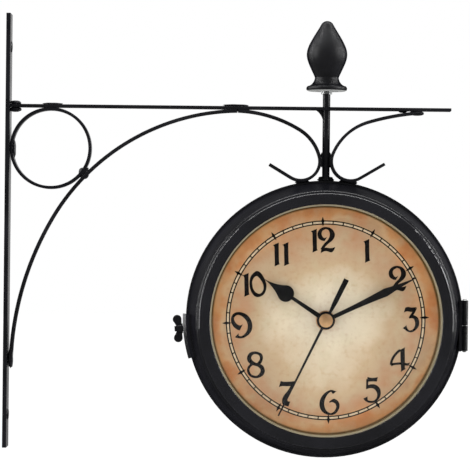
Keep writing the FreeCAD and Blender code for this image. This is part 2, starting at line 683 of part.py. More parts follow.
def make_dial_ring():
    """Spacer that stands on the dial and holds the glass, with an out-turned flange."""
    wall = DIAL_RING_R + DIAL_RING_WALL
    flange = GLASS_BACK - DIAL_RING_WALL
    flange_r = GLASS_R - DIAL_RING_MARGIN
    return turned(
        V(DIAL_RING_R, 0, DIAL_DEPTH),
        V(wall, 0, DIAL_DEPTH),
        V(wall, 0, flange),
        V(flange_r, 0, flange),
        V(flange_r, 0, GLASS_BACK),
        V(DIAL_RING_R, 0, GLASS_BACK))


def make_dial_plate():
    return tube(DIAL_PLATE_R, BUSH_R + SEAT_GAP, DIAL_BACK, DIAL_DEPTH - DIAL_PRINT_THICK)


def make_dial_print():
    return tube(DIAL_PLATE_R - DIAL_PRINT_MARGIN, BUSH_R + SEAT_GAP,
                DIAL_DEPTH - DIAL_PRINT_THICK, DIAL_DEPTH)


def make_dial_clips():
    """Sheet clips on the flank, bent over the back of the dial plate."""
    back = DIAL_BACK - CLIP_THICK
    reach_r = DIAL_PLATE_R - CLIP_LAP
    clips = []
    for index in range(CLIP_COUNT):
        points = [
            V(reach_r, 0, back),
            V(reach_r, 0, DIAL_BACK),
            V(flank_radius(DIAL_BACK) - sheet_across(), 0, DIAL_BACK),
            V(flank_radius(back - CLIP_FOOT) - sheet_across(), 0, back - CLIP_FOOT),
            V(flank_radius(back - CLIP_FOOT) - sheet_across() - CLIP_THICK, 0,
              back - CLIP_FOOT),
            V(flank_radius(back) - sheet_across() - CLIP_THICK, 0, back)]
        clip = Part.Face(outline(*points)).revolve(V(), V(0, 0, 1), CLIP_DEG)
        clip.rotate(V(), V(0, 0, 1), 360.0 * (index + 0.5) / CLIP_COUNT - CLIP_DEG / 2)
        clips.append(clip)
    return Part.makeCompound(clips)


# ---------------------------------------------------------------- movement
def bay_middle():
    """Height of the battery's axis, and its depth from the parting plane."""
    floor = DIAL_BACK - BAY_WALL
    low = -MOVEMENT_SIDE / 2 + BAY_WALL + BATTERY_GAP + BATTERY_R
    return low, floor - BATTERY_GAP - BATTERY_R


def make_movement():
    """Housing with a threaded bush, stepped arbor bores, an open battery bay and a knob hole."""
    half = MOVEMENT_SIDE / 2
    housing = box_between(V(-half, -half, MOVEMENT_BACK), V(half, half, DIAL_BACK))
    uprights = [edge for edge in housing.Edges
                if abs(edge.Vertexes[0].X - edge.Vertexes[1].X) < 1e-6
                and abs(edge.Vertexes[0].Y - edge.Vertexes[1].Y) < 1e-6]
    housing = housing.makeFillet(MOVEMENT_ROUND, uprights)
    housing = housing.fuse(rod(BUSH_R, DIAL_BACK, DIAL_DEPTH + BUSH_PROUD))
    housing = housing.cut(rod(HOUR_PIPE_R + RUNNING_GAP, PIPE_FOOT - RUNNING_GAP,
                              DIAL_DEPTH + BUSH_PROUD))
    housing = housing.cut(rod(MINUTE_ARBOR_R + RUNNING_GAP, MINUTE_FOOT - RUNNING_GAP,
                              DIAL_DEPTH))
    housing = housing.cut(rod(SECOND_ARBOR_R + RUNNING_GAP, SECOND_FOOT - RUNNING_GAP,
                              DIAL_DEPTH))
    bay_y, bay_z = bay_middle()
    reach = BATTERY_R + BATTERY_GAP
    housing = housing.cut(box_between(
        V(-BAY_HALF_LENGTH, bay_y - reach, MOVEMENT_BACK),
        V(BAY_HALF_LENGTH, bay_y + reach, bay_z + reach)))
    spindle = rod(KNOB_SPINDLE_R + RUNNING_GAP, MOVEMENT_BACK,
                  MOVEMENT_BACK + KNOB_SPINDLE_DEPTH + RUNNING_GAP)
    spindle.translate(V(KNOB_X, KNOB_Y, 0))
    return housing.cut(spindle).removeSplitter()


def make_battery():
    bay_y, bay_z = bay_middle()
    low = -BATTERY_LENGTH / 2
    cell = Part.makeCylinder(BATTERY_R, BATTERY_LENGTH, V(low, bay_y, bay_z), V(1, 0, 0))
    nub = Part.makeCylinder(BATTERY_NUB_R, BATTERY_LENGTH + BATTERY_NUB,
                            V(low, bay_y, bay_z), V(1, 0, 0))
    return cell.fuse(nub).removeSplitter()


def make_battery_contacts():
    """Flat plate at each end of the bay, with a coned spring on the negative one."""
    bay_y, bay_z = bay_middle()
    half = CONTACT_WIDTH / 2
    outer = BAY_HALF_LENGTH
    inner = outer - CONTACT_THICK
    positive = box_between(V(inner, bay_y - half, bay_z - half),
                           V(outer, bay_y + half, bay_z + half))
    negative = box_between(V(-outer, bay_y - half, bay_z - half),
                           V(-inner, bay_y + half, bay_z + half))
    length = inner - BATTERY_LENGTH / 2 - SEAT_GAP
    spring = Part.makeCone(CONTACT_SPRING_R, CONTACT_SPRING_TIP_R, length,
                           V(-inner, bay_y, bay_z), V(1, 0, 0))
    return Part.makeCompound([positive, negative.fuse(spring).removeSplitter()])


def make_dial_washer():
    return tube(NUT_ACROSS_FLATS / 2 + WASHER_LAP, BUSH_R + SEAT_GAP, DIAL_DEPTH, DIAL_DEPTH + WASHER_THICK)


def make_dial_nut():
    corner = NUT_ACROSS_FLATS / 2 / cosd(30)
    points = [V(corner * cosd(60 * i), corner * sind(60 * i), 0) for i in range(6)]
    nut = Part.Face(outline(*points)).extrude(V(0, 0, NUT_THICK))
    nut.translate(V(0, 0, DIAL_DEPTH + WASHER_THICK))
    return nut.cut(rod(BUSH_R + SEAT_GAP, DIAL_DEPTH, DIAL_DEPTH + WASHER_THICK + NUT_THICK))


def make_setting_knob():
    top = MOVEMENT_BACK - KNOB_GAP
    knob = rod(KNOB_R, top - KNOB_THICK, top)
    for index in range(KNOB_FLUTES):
        angle = 360.0 * index / KNOB_FLUTES
        flute = rod(KNOB_FLUTE_R, top - KNOB_THICK, top)
        flute.translate(V(KNOB_R * cosd(angle), KNOB_R * sind(angle), 0))
        knob = knob.cut(flute)
    knob = knob.fuse(rod(KNOB_SPINDLE_R, top, MOVEMENT_BACK + KNOB_SPINDLE_DEPTH))
    knob.translate(V(KNOB_X, KNOB_Y, 0))
    return knob.removeSplitter()


def make_hour_pipe():
    return tube(HOUR_PIPE_R, HOUR_PIPE_BORE_R, PIPE_FOOT, HOUR_HAND_AT + HAND_THICK + HAND_COLLAR)


def make_minute_arbor():
    return tube(MINUTE_ARBOR_R, MINUTE_ARBOR_BORE_R, MINUTE_FOOT,
                MINUTE_HAND_AT + HAND_THICK + HAND_COLLAR)


def make_second_arbor():
    return rod(SECOND_ARBOR_R, SECOND_FOOT, SECOND_HAND_AT + HAND_THICK)


# ---------------------------------------------------------------- hands
def mirrored_hand(root, *steps):
    """Blade from its right-hand outline: steps as in outline, mirrored in local X = 0."""
    edges = []
    here = root
    for step in steps:
        if isinstance(step, tuple):
            edges.append(Part.Arc(here, step[0], step[1]).toShape())
            here = step[1]
        else:
            edges.append(Part.LineSegment(here, step).toShape())
            here = step
    mirrored = [edge.mirror(V(), V(1, 0, 0)) for edge in edges]
    caps = [Part.LineSegment(here, V(-here.x, here.y, 0)).toShape(),
            Part.LineSegment(root, V(-root.x, root.y, 0)).toShape()]
    wire = Part.Wire(Part.__sortEdges__(edges + mirrored + caps))
    return Part.Face(wire).extrude(V(0, 0, HAND_THICK))


def finished_hand(blade, boss_r, bore_r, height, angle):
    hand = blade.fuse(rod(boss_r, 0, HAND_THICK)).cut(rod(bore_r, 0, HAND_THICK))
    hand = hand.removeSplitter()
    hand.rotate(V(), V(0, 0, 1), -angle)
    hand.translate(V(0, 0, height))
    return hand


def make_hour_hand():
    """Tapered arm into a round spade whose hollow shoulders run to a long tip."""
    centre_y = HOUR_LENGTH - SPADE_FROM_TIP
    meet = centre_y - math.sqrt(SPADE_R ** 2 - (HOUR_ARM_TIP / 2) ** 2)
    rise = V(SPADE_R * cosd(SPADE_SHOULDER_DEG), SPADE_R * sind(SPADE_SHOULDER_DEG), 0)
    shoulder = V(rise.x, centre_y + rise.y, 0)
    length = HOUR_LENGTH - shoulder.y
    across, along = SPADE_HOLLOW
    blade = mirrored_hand(
        V(HOUR_ARM_ROOT / 2, 0, 0),
        V(HOUR_ARM_TIP / 2, meet, 0),
        (V(rise.x, centre_y - rise.y, 0), shoulder),
        (V(shoulder.x * across, shoulder.y + length * along, 0),
         V(HAND_TIP / 2, HOUR_LENGTH, 0)))
    return finished_hand(blade, HOUR_BOSS_R, HOUR_PIPE_R, HOUR_HAND_AT, HOUR_ANGLE)


def make_minute_hand():
    """Slim arm that swells into a narrow leaf and ends in a fine point."""
    widest = MINUTE_LENGTH - MINUTE_LEAF_FROM_TIP
    across, along = MINUTE_LEAF_SWELL
    blade = mirrored_hand(
        V(MINUTE_ARM / 2, 0, 0),
        V(MINUTE_ARM / 2 + MINUTE_ARM_SPREAD, widest * along / 2, 0),
        (V(MINUTE_LEAF * across, widest * along, 0), V(MINUTE_LEAF / 2, widest, 0)),
        V(MINUTE_LEAF * MINUTE_NECK / 2, widest + MINUTE_LEAF_FALL, 0),
        V(HAND_TIP / 2, MINUTE_LENGTH, 0))
    return finished_hand(blade, MINUTE_BOSS_R, MINUTE_ARBOR_R, MINUTE_HAND_AT, MINUTE_ANGLE)


def make_second_hand():
    """Fine needle with a flared counterweight beyond the boss."""
    outer_knee, inner_knee = SECOND_TAIL_KNEES
    blade = mirrored_hand(
        V(SECOND_TAIL_WIDTH / 2, -SECOND_TAIL, 0),
        V(SECOND_TAIL_WIDTH / 2 - SECOND_TAIL_TAPER, -SECOND_TAIL * outer_knee, 0),
        V(SECOND_ROOT / 2, -SECOND_TAIL * inner_knee, 0),
        V(SECOND_ROOT / 2, 0, 0),
        V(SECOND_TIP / 2, SECOND_LENGTH, 0))
    return finished_hand(blade, SECOND_BOSS_R, SECOND_ARBOR_R, SECOND_HAND_AT, SECOND_ANGLE)


def make_hand_cap():
    """Shallow domed cap on the second hand."""
    base = SECOND_HAND_AT + HAND_THICK
    rim = base + CAP_HEIGHT * 0.4
    top = base + CAP_HEIGHT
    return turned(
        V(0, 0, base), V(CAP_R, 0, base), V(CAP_R, 0, rim),
        (dome_middle(CAP_R, rim, top), V(0, 0, top)))


SIDE_MAKERS = {
    "bezel": make_bezel,
    "glass_gasket": make_glass_gasket,
    "glass": make_glass,
    "dial_ring": make_dial_ring,
    "dial_plate": make_dial_plate,
    "dial_print": make_dial_print,
    "dial_clips": make_dial_clips,
    "movement": make_movement,
    "battery": make_battery,
    "battery_contacts": make_battery_contacts,
    "dial_washer": make_dial_washer,
    "dial_nut": make_dial_nut,
    "setting_knob": make_setting_knob,
    "hour_pipe": make_hour_pipe,
    "minute_arbor": make_minute_arbor,
    "second_arbor": make_second_arbor,
    "hour_hand": make_hour_hand,
    "minute_hand": make_minute_hand,
    "second_hand": make_second_hand,
    "hand_cap": make_hand_cap,
}


def side_placement(side):
    """Turns local +Z to the front (-Y) or the rear (+Y), with local +Y up, at the case centre."""
    out = -1 if side == "front" else 1
    return FreeCAD.Placement(FreeCAD.Matrix(
        -out, 0, 0, HEAD.x,
        0, 0, out, HEAD.y,
        0, 1, 0, HEAD.z,
        0, 0, 0, 1))


def placed(shape, side):
    copy = shape.copy()
    copy.Placement = side_placement(side).multiply(copy.Placement)
    return copy


# ---------------------------------------------------------------- hinge
def hinge_middle():
    return V(HEAD_REACH + HINGE_R, 0, HEAD_Z - HINGE_DROP)


def hinge_notch():
    """Space that the knuckles take out of the rim flanges."""
    middle = hinge_middle()
    half = HINGE_LENGTH / 2 + MOVING_GAP
    reach = HINGE_KNUCKLE_R + MOVING_GAP
    low = V(HEAD_REACH + FLANK_R + SEAT_GAP, -reach, middle.z - half)
    return box_between(low, V(middle.x + reach, reach, middle.z + half))


def make_hinge_leaf(out):
    """Leaf along one half's flank, rolled into a knuckle: the lower one at the rear (out = 1)."""
    middle = hinge_middle()
    half = HINGE_LENGTH / 2
    root = V(middle.x - HINGE_KNUCKLE_R, HINGE_LEAF_START * out, middle.z - half)
    knee_x = HEAD_REACH + flank_radius(RIM_THICK + PARTING_GAP) + SEAT_GAP
    knee = V(knee_x, (RIM_THICK + PARTING_GAP) * out, root.z)
    end_x = HEAD_REACH + flank_radius(HINGE_LEAF_DEPTH) + SEAT_GAP
    end = V(end_x, HINGE_LEAF_DEPTH * out, root.z)
    thick = V(HINGE_LEAF_THICK, 0, 0)
    leaf = Part.Face(outline(root, knee, end, end + thick, knee + thick, root + thick))
    leaf = leaf.extrude(V(0, 0, HINGE_LENGTH))
    gap = MOVING_GAP / 2
    own = middle.z - half if out > 0 else middle.z + gap
    other = middle.z - gap if out > 0 else middle.z - half
    knuckle = Part.makeCylinder(HINGE_KNUCKLE_R, half - gap, V(middle.x, 0, own))
    swept = Part.makeCylinder(HINGE_KNUCKLE_R + MOVING_GAP, half + gap, V(middle.x, 0, other))
    bore = Part.makeCylinder(HINGE_PIN_R + RUNNING_GAP, HINGE_LENGTH,
                             V(middle.x, 0, middle.z - half))
    return leaf.cut(swept).fuse(knuckle).cut(bore).removeSplitter()


def make_hinge_pin():
    """Pin through both knuckles, with a domed head at each end."""
    middle = hinge_middle()
    half = HINGE_LENGTH / 2 + RUNNING_GAP
    dome_r = HINGE_PIN_R + RUNNING_GAP + HINGE_PIN_LIP
    pin = Part.makeCylinder(HINGE_PIN_R, 2 * half, V(middle.x, 0, middle.z - half))
    for end, way in ((half, 1), (-half, -1)):
        dome = Part.makeCone(dome_r, dome_r * 0.5, HINGE_PIN_PROUD,
                             V(middle.x, 0, middle.z + end), V(0, 0, way))
        pin = pin.fuse(dome)
    return pin.removeSplitter()


# ---------------------------------------------------------------- latch
def radial(shape):
    """Turns a shape built along local Z to the latch's radial line on the wall side."""
    shape.rotate(V(), V(0, 1, 0), -90 - LATCH_DEG)
    shape.translate(V(HEAD.x, STUD_DEPTH, HEAD.z))
    return shape


def make_latch_strap():
    """Strap on the front half that reaches over the rim, with a fork for the stud."""
    inner = RIM_R + MOVING_GAP
    outer = inner + STRAP_THICK
    foot_top = STRAP_FOOT_TOP
    foot_end = STRAP_FOOT_DEPTH
    crest = RIM_THICK + PARTING_GAP + MOVING_GAP
    strap = Part.Face(outline(
        V(inner, 0, -STRAP_FORK_DEPTH),
        V(inner, 0, crest),
        V(flank_radius(foot_top), 0, foot_top),
        V(flank_radius(foot_end), 0, foot_end),
        V(flank_radius(foot_end) + STRAP_FOOT_THICK, 0, foot_end),
        V(flank_radius(foot_top) + STRAP_THICK, 0, foot_top),
        V(outer, 0, crest),
        V(outer, 0, -STRAP_FORK_DEPTH))).revolve(V(), V(0, 0, 1), STRAP_SPAN_DEG)
    strap.rotate(V(), V(0, 0, 1), 180 - STRAP_TOP_DEG)
    strap = placed(strap, "front")
    slot_r = STUD_R + MOVING_GAP
    slot = rod(slot_r, SHOULDER_R, outer + MOVING_GAP)
    mouth = box_between(V(-slot_r, 0, SHOULDER_R),
                        V(slot_r, STRAP_FORK_DEPTH, outer + MOVING_GAP))
    return strap.cut(radial(slot.fuse(mouth)))


def make_latch_stud():
    """Threaded stud that stands on the rear flank, with a weld foot."""
    foot_r = flank_radius(STUD_DEPTH)
    stud = rod(STUD_R, foot_r - STUD_SINK, RIM_R + STUD_PROUD)
    foot = rod(STUD_BASE_R, foot_r - STUD_SINK, foot_r + STUD_BASE_THICK)
    pieces = radial(stud.fuse(foot)).cut(placed(make_case_half(), "rear")).Solids
    return max(pieces, key=lambda solid: solid.Volume)


def make_wing_nut():
    """Hub with two round lobes that stand outwards."""
    low = RIM_R + STRAP_THICK + 2 * MOVING_GAP
    nut = Part.makeCone(WING_HUB_R, WING_HUB_TOP_R, WING_HUB_LENGTH, V(0, 0, low))
    for side in (-1, 1):
        lobe_x = side * (WING_SPAN / 2 - WING_LOBE_R)
        lobe_z = RIM_R + WING_PROUD - WING_LOBE_R
        points = [V(0, 0, low + WING_ROOT), V(lobe_x, 0, lobe_z - WING_LOBE_R),
                  V(lobe_x, 0, lobe_z + WING_LOBE_R), V(0, 0, low + WING_HUB_LENGTH - WING_ROOT)]
        web = Part.Face(outline(*points)).extrude(V(0, WING_THICK, 0))
        lobe = Part.makeCylinder(WING_LOBE_R, WING_THICK, V(lobe_x, 0, lobe_z), V(0, 1, 0))
        wing = web.fuse(lobe)
        wing.translate(V(0, -WING_THICK / 2, 0))
        nut = nut.fuse(wing)
    nut = nut.cut(rod(STUD_R + RUNNING_GAP, low, RIM_R + WING_PROUD))
    return radial(nut.removeSplitter())


# ---------------------------------------------------------------- the whole clock
def build():
    bars = {
        "wall_plate": make_wall_plate(),
        "arm": make_arm(),
        "ring": make_ring(),
        "brace": bent_bar(*brace()),
        "inner_scroll": bent_bar(*inner_scroll()),
        "outer_scroll": bent_bar(*outer_scroll()),
        "post": make_post(),
    }
    for name, shape in bars.items():
        SOLIDS[name] = shape
    SOLIDS["gusset"] = make_gusset()
    SOLIDS["post_collar"] = make_post_collar()
    SOLIDS["finial"] = make_finial()

    notch = hinge_notch()
    half = make_case_half()
    for side in ("front", "rear"):
        SOLIDS[side + "_case"] = placed(half, side).cut(notch)
    for name, make in SIDE_MAKERS.items():
        piece = make()
        for side in ("front", "rear"):
            SOLIDS[side + "_" + name] = placed(piece, side)

    SOLIDS["weld_beads"] = make_weld_beads(
        list(bars.values()) + [SOLIDS["gusset"]], SOLIDS["rear_case"])
    SOLIDS["front_hinge_leaf"] = make_hinge_leaf(-1)
    SOLIDS["rear_hinge_leaf"] = make_hinge_leaf(1)
    SOLIDS["hinge_pin"] = make_hinge_pin()
    SOLIDS["latch_strap"] = make_latch_strap()
    SOLIDS["latch_stud"] = make_latch_stud()
    SOLIDS["wing_nut"] = make_wing_nut()


build()
os.makedirs("parts", exist_ok=True)
for node, shape in SOLIDS.items():
    shape.exportStep("parts/" + node + ".step")
    print(node, len(shape.Solids), round(shape.Volume, 1), shape.isValid())
print(len(SOLIDS), "nodes")
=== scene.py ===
"""Double sided station clock: paints, dial printing, weld metal, stage and camera round the CAD frame."""

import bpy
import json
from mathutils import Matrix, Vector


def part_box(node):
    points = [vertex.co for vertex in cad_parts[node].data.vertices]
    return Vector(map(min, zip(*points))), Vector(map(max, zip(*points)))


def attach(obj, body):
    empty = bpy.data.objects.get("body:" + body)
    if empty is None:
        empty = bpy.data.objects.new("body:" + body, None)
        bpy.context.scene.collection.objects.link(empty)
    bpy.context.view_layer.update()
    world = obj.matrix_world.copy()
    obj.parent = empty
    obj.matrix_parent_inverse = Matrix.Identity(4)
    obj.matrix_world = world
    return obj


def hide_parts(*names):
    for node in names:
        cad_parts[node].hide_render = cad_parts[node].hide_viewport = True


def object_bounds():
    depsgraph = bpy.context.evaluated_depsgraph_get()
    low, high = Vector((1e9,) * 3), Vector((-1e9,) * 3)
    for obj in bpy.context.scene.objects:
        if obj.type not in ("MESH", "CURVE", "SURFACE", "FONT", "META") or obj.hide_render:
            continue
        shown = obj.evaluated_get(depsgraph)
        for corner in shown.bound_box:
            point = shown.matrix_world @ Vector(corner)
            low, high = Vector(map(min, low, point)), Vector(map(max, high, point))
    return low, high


bl_info = {
    "name": "Station Clock",
    "version": (1, 0, 0),
    "blender": (4, 5, 0),
    "location": "3D View > Sidebar > Station Clock",
    "description": "Dresses the packed double sided station clock and sets its stage",
    "category": "Object",
}

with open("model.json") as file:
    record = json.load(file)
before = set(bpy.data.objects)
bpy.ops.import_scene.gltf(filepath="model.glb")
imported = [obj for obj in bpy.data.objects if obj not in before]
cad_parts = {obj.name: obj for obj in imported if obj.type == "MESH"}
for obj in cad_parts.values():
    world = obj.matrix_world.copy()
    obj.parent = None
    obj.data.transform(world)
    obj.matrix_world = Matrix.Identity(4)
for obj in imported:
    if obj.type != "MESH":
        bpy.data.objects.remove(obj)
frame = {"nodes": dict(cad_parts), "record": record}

import json
import math

import bmesh
import bpy
import numpy as np

MM = 0.001
CAD_BOX = [list(corner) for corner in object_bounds()]
NODE_BODY = {
    node: body for body, nodes in frame["record"]["behaviour"]["bodies"].items() for node in nodes
}
# The dials' axis runs along Y through the middle of the front print. DIAL_FACE is the distance from the
# parting plane to each print's face.
PRINT_LOW, PRINT_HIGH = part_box("front_dial_print")
HEAD_X = (PRINT_LOW.x + PRINT_HIGH.x) / 2
HEAD_Z = (PRINT_LOW.z + PRINT_HIGH.z) / 2
DIAL_FACE = -PRINT_LOW.y
# Each side's name, the body that its case belongs to, and the way its dial looks along Y.
SIDES = (("front", "front_case", -1), ("rear", "root", 1))


def linear(code):
    """An sRGB hex colour as linear RGB, by the standard curve."""
    srgb = np.array([int(code[i:i + 2], 16) for i in (1, 3, 5)]) / 255
    return tuple(np.where(srgb <= 0.04045, srgb / 12.92, ((srgb + 0.055) / 1.055) ** 2.4))


def colour(name, description, code):
    """A colour that a user may change, written as sRGB hex."""
    return bpy.props.FloatVectorProperty(
        name=name, description=description, subtype="COLOR", size=3, min=0, max=1, default=linear(code)
    )


def length(name, description, millimetres):
    """A length that a user may change, written in mm."""
    return bpy.props.FloatProperty(
        name=name, description=description, unit="LENGTH", subtype="DISTANCE", min=0, precision=4,
        default=millimetres * MM,
    )


class StationClockPaint(bpy.types.PropertyGroup):
    enamel: colour("Enamel", "Black enamel of the bracket, brushed on over the welds", "#0e0e11")
    enamel_worn: colour("Thin enamel", "The black enamels where they lie thin", "#19191d")
    case_enamel: colour("Case enamel", "Sprayed black enamel of both halves of the case", "#101013")
    bezel_enamel: colour("Bezel enamel", "Smoother black enamel of the bezels", "#111114")
    zinc: colour("Zinc", "Bare metal: collar, hinge pin, contacts and the finial's underside", "#c3c4c2")
    ring_lacquer: colour("Ring lacquer", "Pale olive lacquer of the ring between glass and dial", "#b8ad90")
    brass: colour("Brass", "Caps, washers, nuts and minute arbors", "#dcb488")
    ink: colour("Ink", "Printing ink of the numerals and the minute track", "#0c0705")
    cream: colour("Cream", "Cream blocks printed between the minute marks", "#dcc6a4")


class StationClockDial(bpy.types.PropertyGroup):
    turn: bpy.props.FloatProperty(
        name="Turn", description="How far the print sits anticlockwise in its case", subtype="ANGLE",
        default=math.radians(2.2),
    )
    inner_line: length("Inner line", "Radius of the minute track's inner line", 69.2)
    outer_line: length("Outer line", "Radius of the minute track's outer line", 71.4)
    line_width: length("Line width", "Width of the track's lines", 0.85)
    mark_width: length("Mark width", "Width of a minute mark", 0.85)
    star_reach: length("Star reach", "How far an hour star reaches past the outer line", 2.9)
    star_width: length("Star width", "Half of an hour star's width", 1.6)
    pen_spread: length("Pen spread", "Ink past each edge of the numerals' pen strokes", 0.42)
    ink_height: length("Ink height", "Ink's height over the print", 0.05)


class StationClockStage(bpy.types.PropertyGroup):
    eye_x: length("Camera X", "The camera's place along the arm", 167.7)
    eye_distance: length("Camera distance", "The camera's distance from the parting plane", 2000.0)
    eye_drop: length("Camera drop", "The camera's place below the origin", 1.75)
    lens: bpy.props.FloatProperty(
        name="Lens", description="Focal length on a 36 mm sensor", unit="CAMERA", default=209.87
    )
    roll: bpy.props.FloatProperty(
        name="Roll", description="The camera is turned this much anticlockwise", subtype="ANGLE",
        default=math.radians(0.6),
    )
    floor_drop: length("Floor drop", "The floor's depth below the origin", 1250.0)
    floor: colour("Floor", "Plain pale floor", "#f2f2f2")
    sky: bpy.props.FloatProperty(
        name="Room light", description="Strength of the room's even light", min=0, default=0.98
    )
    dark_side: bpy.props.FloatProperty(
        name="Dark side", description="How bright gloss sees the room before the front dial and below", min=0,
        default=0.12,
    )
    bright_side: bpy.props.FloatProperty(
        name="Bright side", description="How bright gloss sees the backdrop behind the rear dial", min=0,
        default=0.65,
    )
    strip: bpy.props.FloatProperty(
        name="Strip power", description="Power of each tall softbox", subtype="POWER", min=0, default=14.0
    )
    top: bpy.props.FloatProperty(
        name="Top power", description="Power of the overhead softbox", subtype="POWER", min=0, default=20.0
    )


# ---- materials ----


def add_node(tree, kind, inputs=(), stops=(), **settings):
    """Adds one node with its settings. inputs pairs a socket with its value or with the socket that feeds it,
    and stops are a colour ramp's places and colours."""
    node = tree.nodes.new(kind)
    for key, value in settings.items():
        setattr(node, key, value)
    for key, value in dict(inputs).items():
        if isinstance(value, bpy.types.NodeSocket):
            tree.links.new(value, node.inputs[key])
        else:
            node.inputs[key].default_value = value
    for place, shade in stops:
        at = node.color_ramp.elements
        stop = at[0] if place == 0 else at[len(at) - 1] if place == 1 else at.new(place)
        stop.color = (*shade, 1)
    return node


def new_material(name):
    """A material with an empty node tree."""
    material = bpy.data.materials.new(name)
    material.use_nodes = True
    material.node_tree.nodes.clear()
    return material, material.node_tree


# The noise's values between which a finish's two colours change over, and those between which its roughness
# does. The roughness drifts in patches WEAR_FINER times smaller than the colour's.
COLOUR_CHANGE = (0.36, 0.66)
WEAR_CHANGE = (0.3, 0.7)
WEAR_FINER = 1.7
# How far a surface turns from the eye, from 0 to 1, where dust starts to take its gloss and where it has
# taken it all.
DUST_CHANGE = (0.35, 0.62)


def finish(name, base, other, patch, rough, relief=(), stretch=(1, 1, 1), metallic=0.0, specular=0.5,
           coat=0.0, facing=None, dusted=None):
    """A solid finish. Two colours drift into each other in patches of the given size in mm, roughness drifts
    between two values, and each relief entry is a size and a height in mm. facing is an axis, the normal's
    part along it where a third colour starts, where it is full, and that colour. dusted is the specular level
    that dust leaves at a glancing look."""
    if name in bpy.data.materials:
        return bpy.data.materials[name]
    material, tree = new_material(name)
    place = add_node(tree, "ShaderNodeTexCoord").outputs["Object"]
    place = add_node(tree, "ShaderNodeMapping", {"Vector": place, "Scale": stretch}).outputs[0]
    patches = add_node(tree, "ShaderNodeTexNoise", {
        "Vector": place, "Scale": 1 / (patch * MM), "Detail": 4.0,
    })
    share = add_node(tree, "ShaderNodeMapRange", {
        0: patches.outputs["Fac"], 1: COLOUR_CHANGE[0], 2: COLOUR_CHANGE[1],
    })
    shade = add_node(
        tree, "ShaderNodeMix", {0: share.outputs[0], 6: (*base, 1), 7: (*other, 1)}, data_type="RGBA"
    ).outputs[2]
    if facing:
        axis, start, full, third = facing
        normal = add_node(tree, "ShaderNodeNewGeometry").outputs["Normal"]
        part = add_node(tree, "ShaderNodeSeparateXYZ", {0: normal}).outputs[axis]
        share = add_node(tree, "ShaderNodeMapRange", {0: part, 1: start, 2: full}).outputs[0]
        shade = add_node(
            tree, "ShaderNodeMix", {0: share, 6: shade, 7: (*third, 1)}, data_type="RGBA"
        ).outputs[2]
    wear = add_node(tree, "ShaderNodeTexNoise", {
        "Vector": place, "Scale": WEAR_FINER / (patch * MM), "Detail": 3.0,
    })
    gloss = add_node(tree, "ShaderNodeMapRange", {
        0: wear.outputs["Fac"], 1: WEAR_CHANGE[0], 2: WEAR_CHANGE[1], 3: rough[0], 4: rough[1],
    })
    normal = None
    for size, height in relief:
        waves = add_node(tree, "ShaderNodeTexNoise", {
            "Vector": place, "Scale": 1 / (size * MM), "Detail": 2.0,
        })
        inputs = {"Height": waves.outputs["Fac"], "Distance": height * MM}
        if normal:
            inputs["Normal"] = normal
        normal = add_node(tree, "ShaderNodeBump", inputs).outputs[0]
    inputs = {
        "Base Color": shade, "Roughness": gloss.outputs[0], "Metallic": metallic, "Coat Weight": coat,
        "Specular IOR Level": specular,
    }
    if normal:
        inputs["Normal"] = normal
    if dusted is not None:
        glance = add_node(tree, "ShaderNodeLayerWeight", {"Blend": 0.5}).outputs["Facing"]
        inputs["Specular IOR Level"] = add_node(tree, "ShaderNodeMapRange", {
            0: glance, 1: DUST_CHANGE[0], 2: DUST_CHANGE[1], 3: specular, 4: dusted,
        }).outputs[0]
    shader = add_node(tree, "ShaderNodeBsdfPrincipled", inputs)
    add_node(tree, "ShaderNodeOutputMaterial", {"Surface": shader.outputs[0]})
    return material


def brushed_enamel(paint, dusty=False):
    """Oil enamel brushed on welded mild steel: glossy, in soft waves a thumb wide. Where dust has settled it
    is satin, and dull at a glancing look."""
    if dusty:
        name, rough, dusted = "brushed_enamel_dusty", (0.26, 0.4), 0.005
    else:
        name, rough, dusted = "brushed_enamel", (0.12, 0.22), None
    return finish(name, paint.enamel, paint.enamel_worn, 22, rough, ((16, 0.1),), specular=0.3, dusted=dusted)


def weld_enamel(paint):
    """The same enamel over weld beads: ripples a few millimetres long, glossier where it ran thick."""
    return finish("weld_enamel", paint.enamel, paint.enamel_worn, 5, (0.2, 0.4), ((2.4, 0.12), (0.9, 0.03)),
                  specular=0.25)


def sprayed_enamel(paint):
    """Sprayed enamel on pressed steel: even satin with long soft press waves and fine spray peel, dull at a
    glancing look where dust has settled."""
    return finish("sprayed_enamel", paint.case_enamel, paint.enamel_worn, 45, (0.22, 0.32),
                  ((38, 0.1), (1.1, 0.002)), specular=0.35, dusted=0.0005)


def bezel_enamel(paint):
    """Enamel on a spun bezel: smoother and much glossier than the case."""
    return finish("bezel_enamel", paint.bezel_enamel, paint.enamel_worn, 30, (0.05, 0.1), ((24, 0.03),),
                  specular=0.85)


def finial_enamel(paint):
    """Enamel on a cast aluminium finial: duller satin than the case, with its seat left bare underneath."""
    return finish("finial_enamel", paint.enamel, paint.enamel_worn, 18, (0.4, 0.48), ((9, 0.03),),
                  specular=0.36, dusted=0.0005, facing=("Z", -0.6, -0.9, tuple(paint.zinc)))


def zinc_plate(paint):
    """Zinc plated mild steel: greyish, with a cloudy bloom a few millimetres across."""
    return finish("zinc_plate", paint.zinc, linear("#8f9192"), 4, (0.25, 0.42), ((0.8, 0.004),), metallic=1.0)


def turned_brass(paint):
    """Turned brass: warm, lightly tarnished in patches."""
    return finish("turned_brass", paint.brass, linear("#c89a66"), 7, (0.4, 0.52), ((0.5, 0.002),),
                  metallic=1.0)


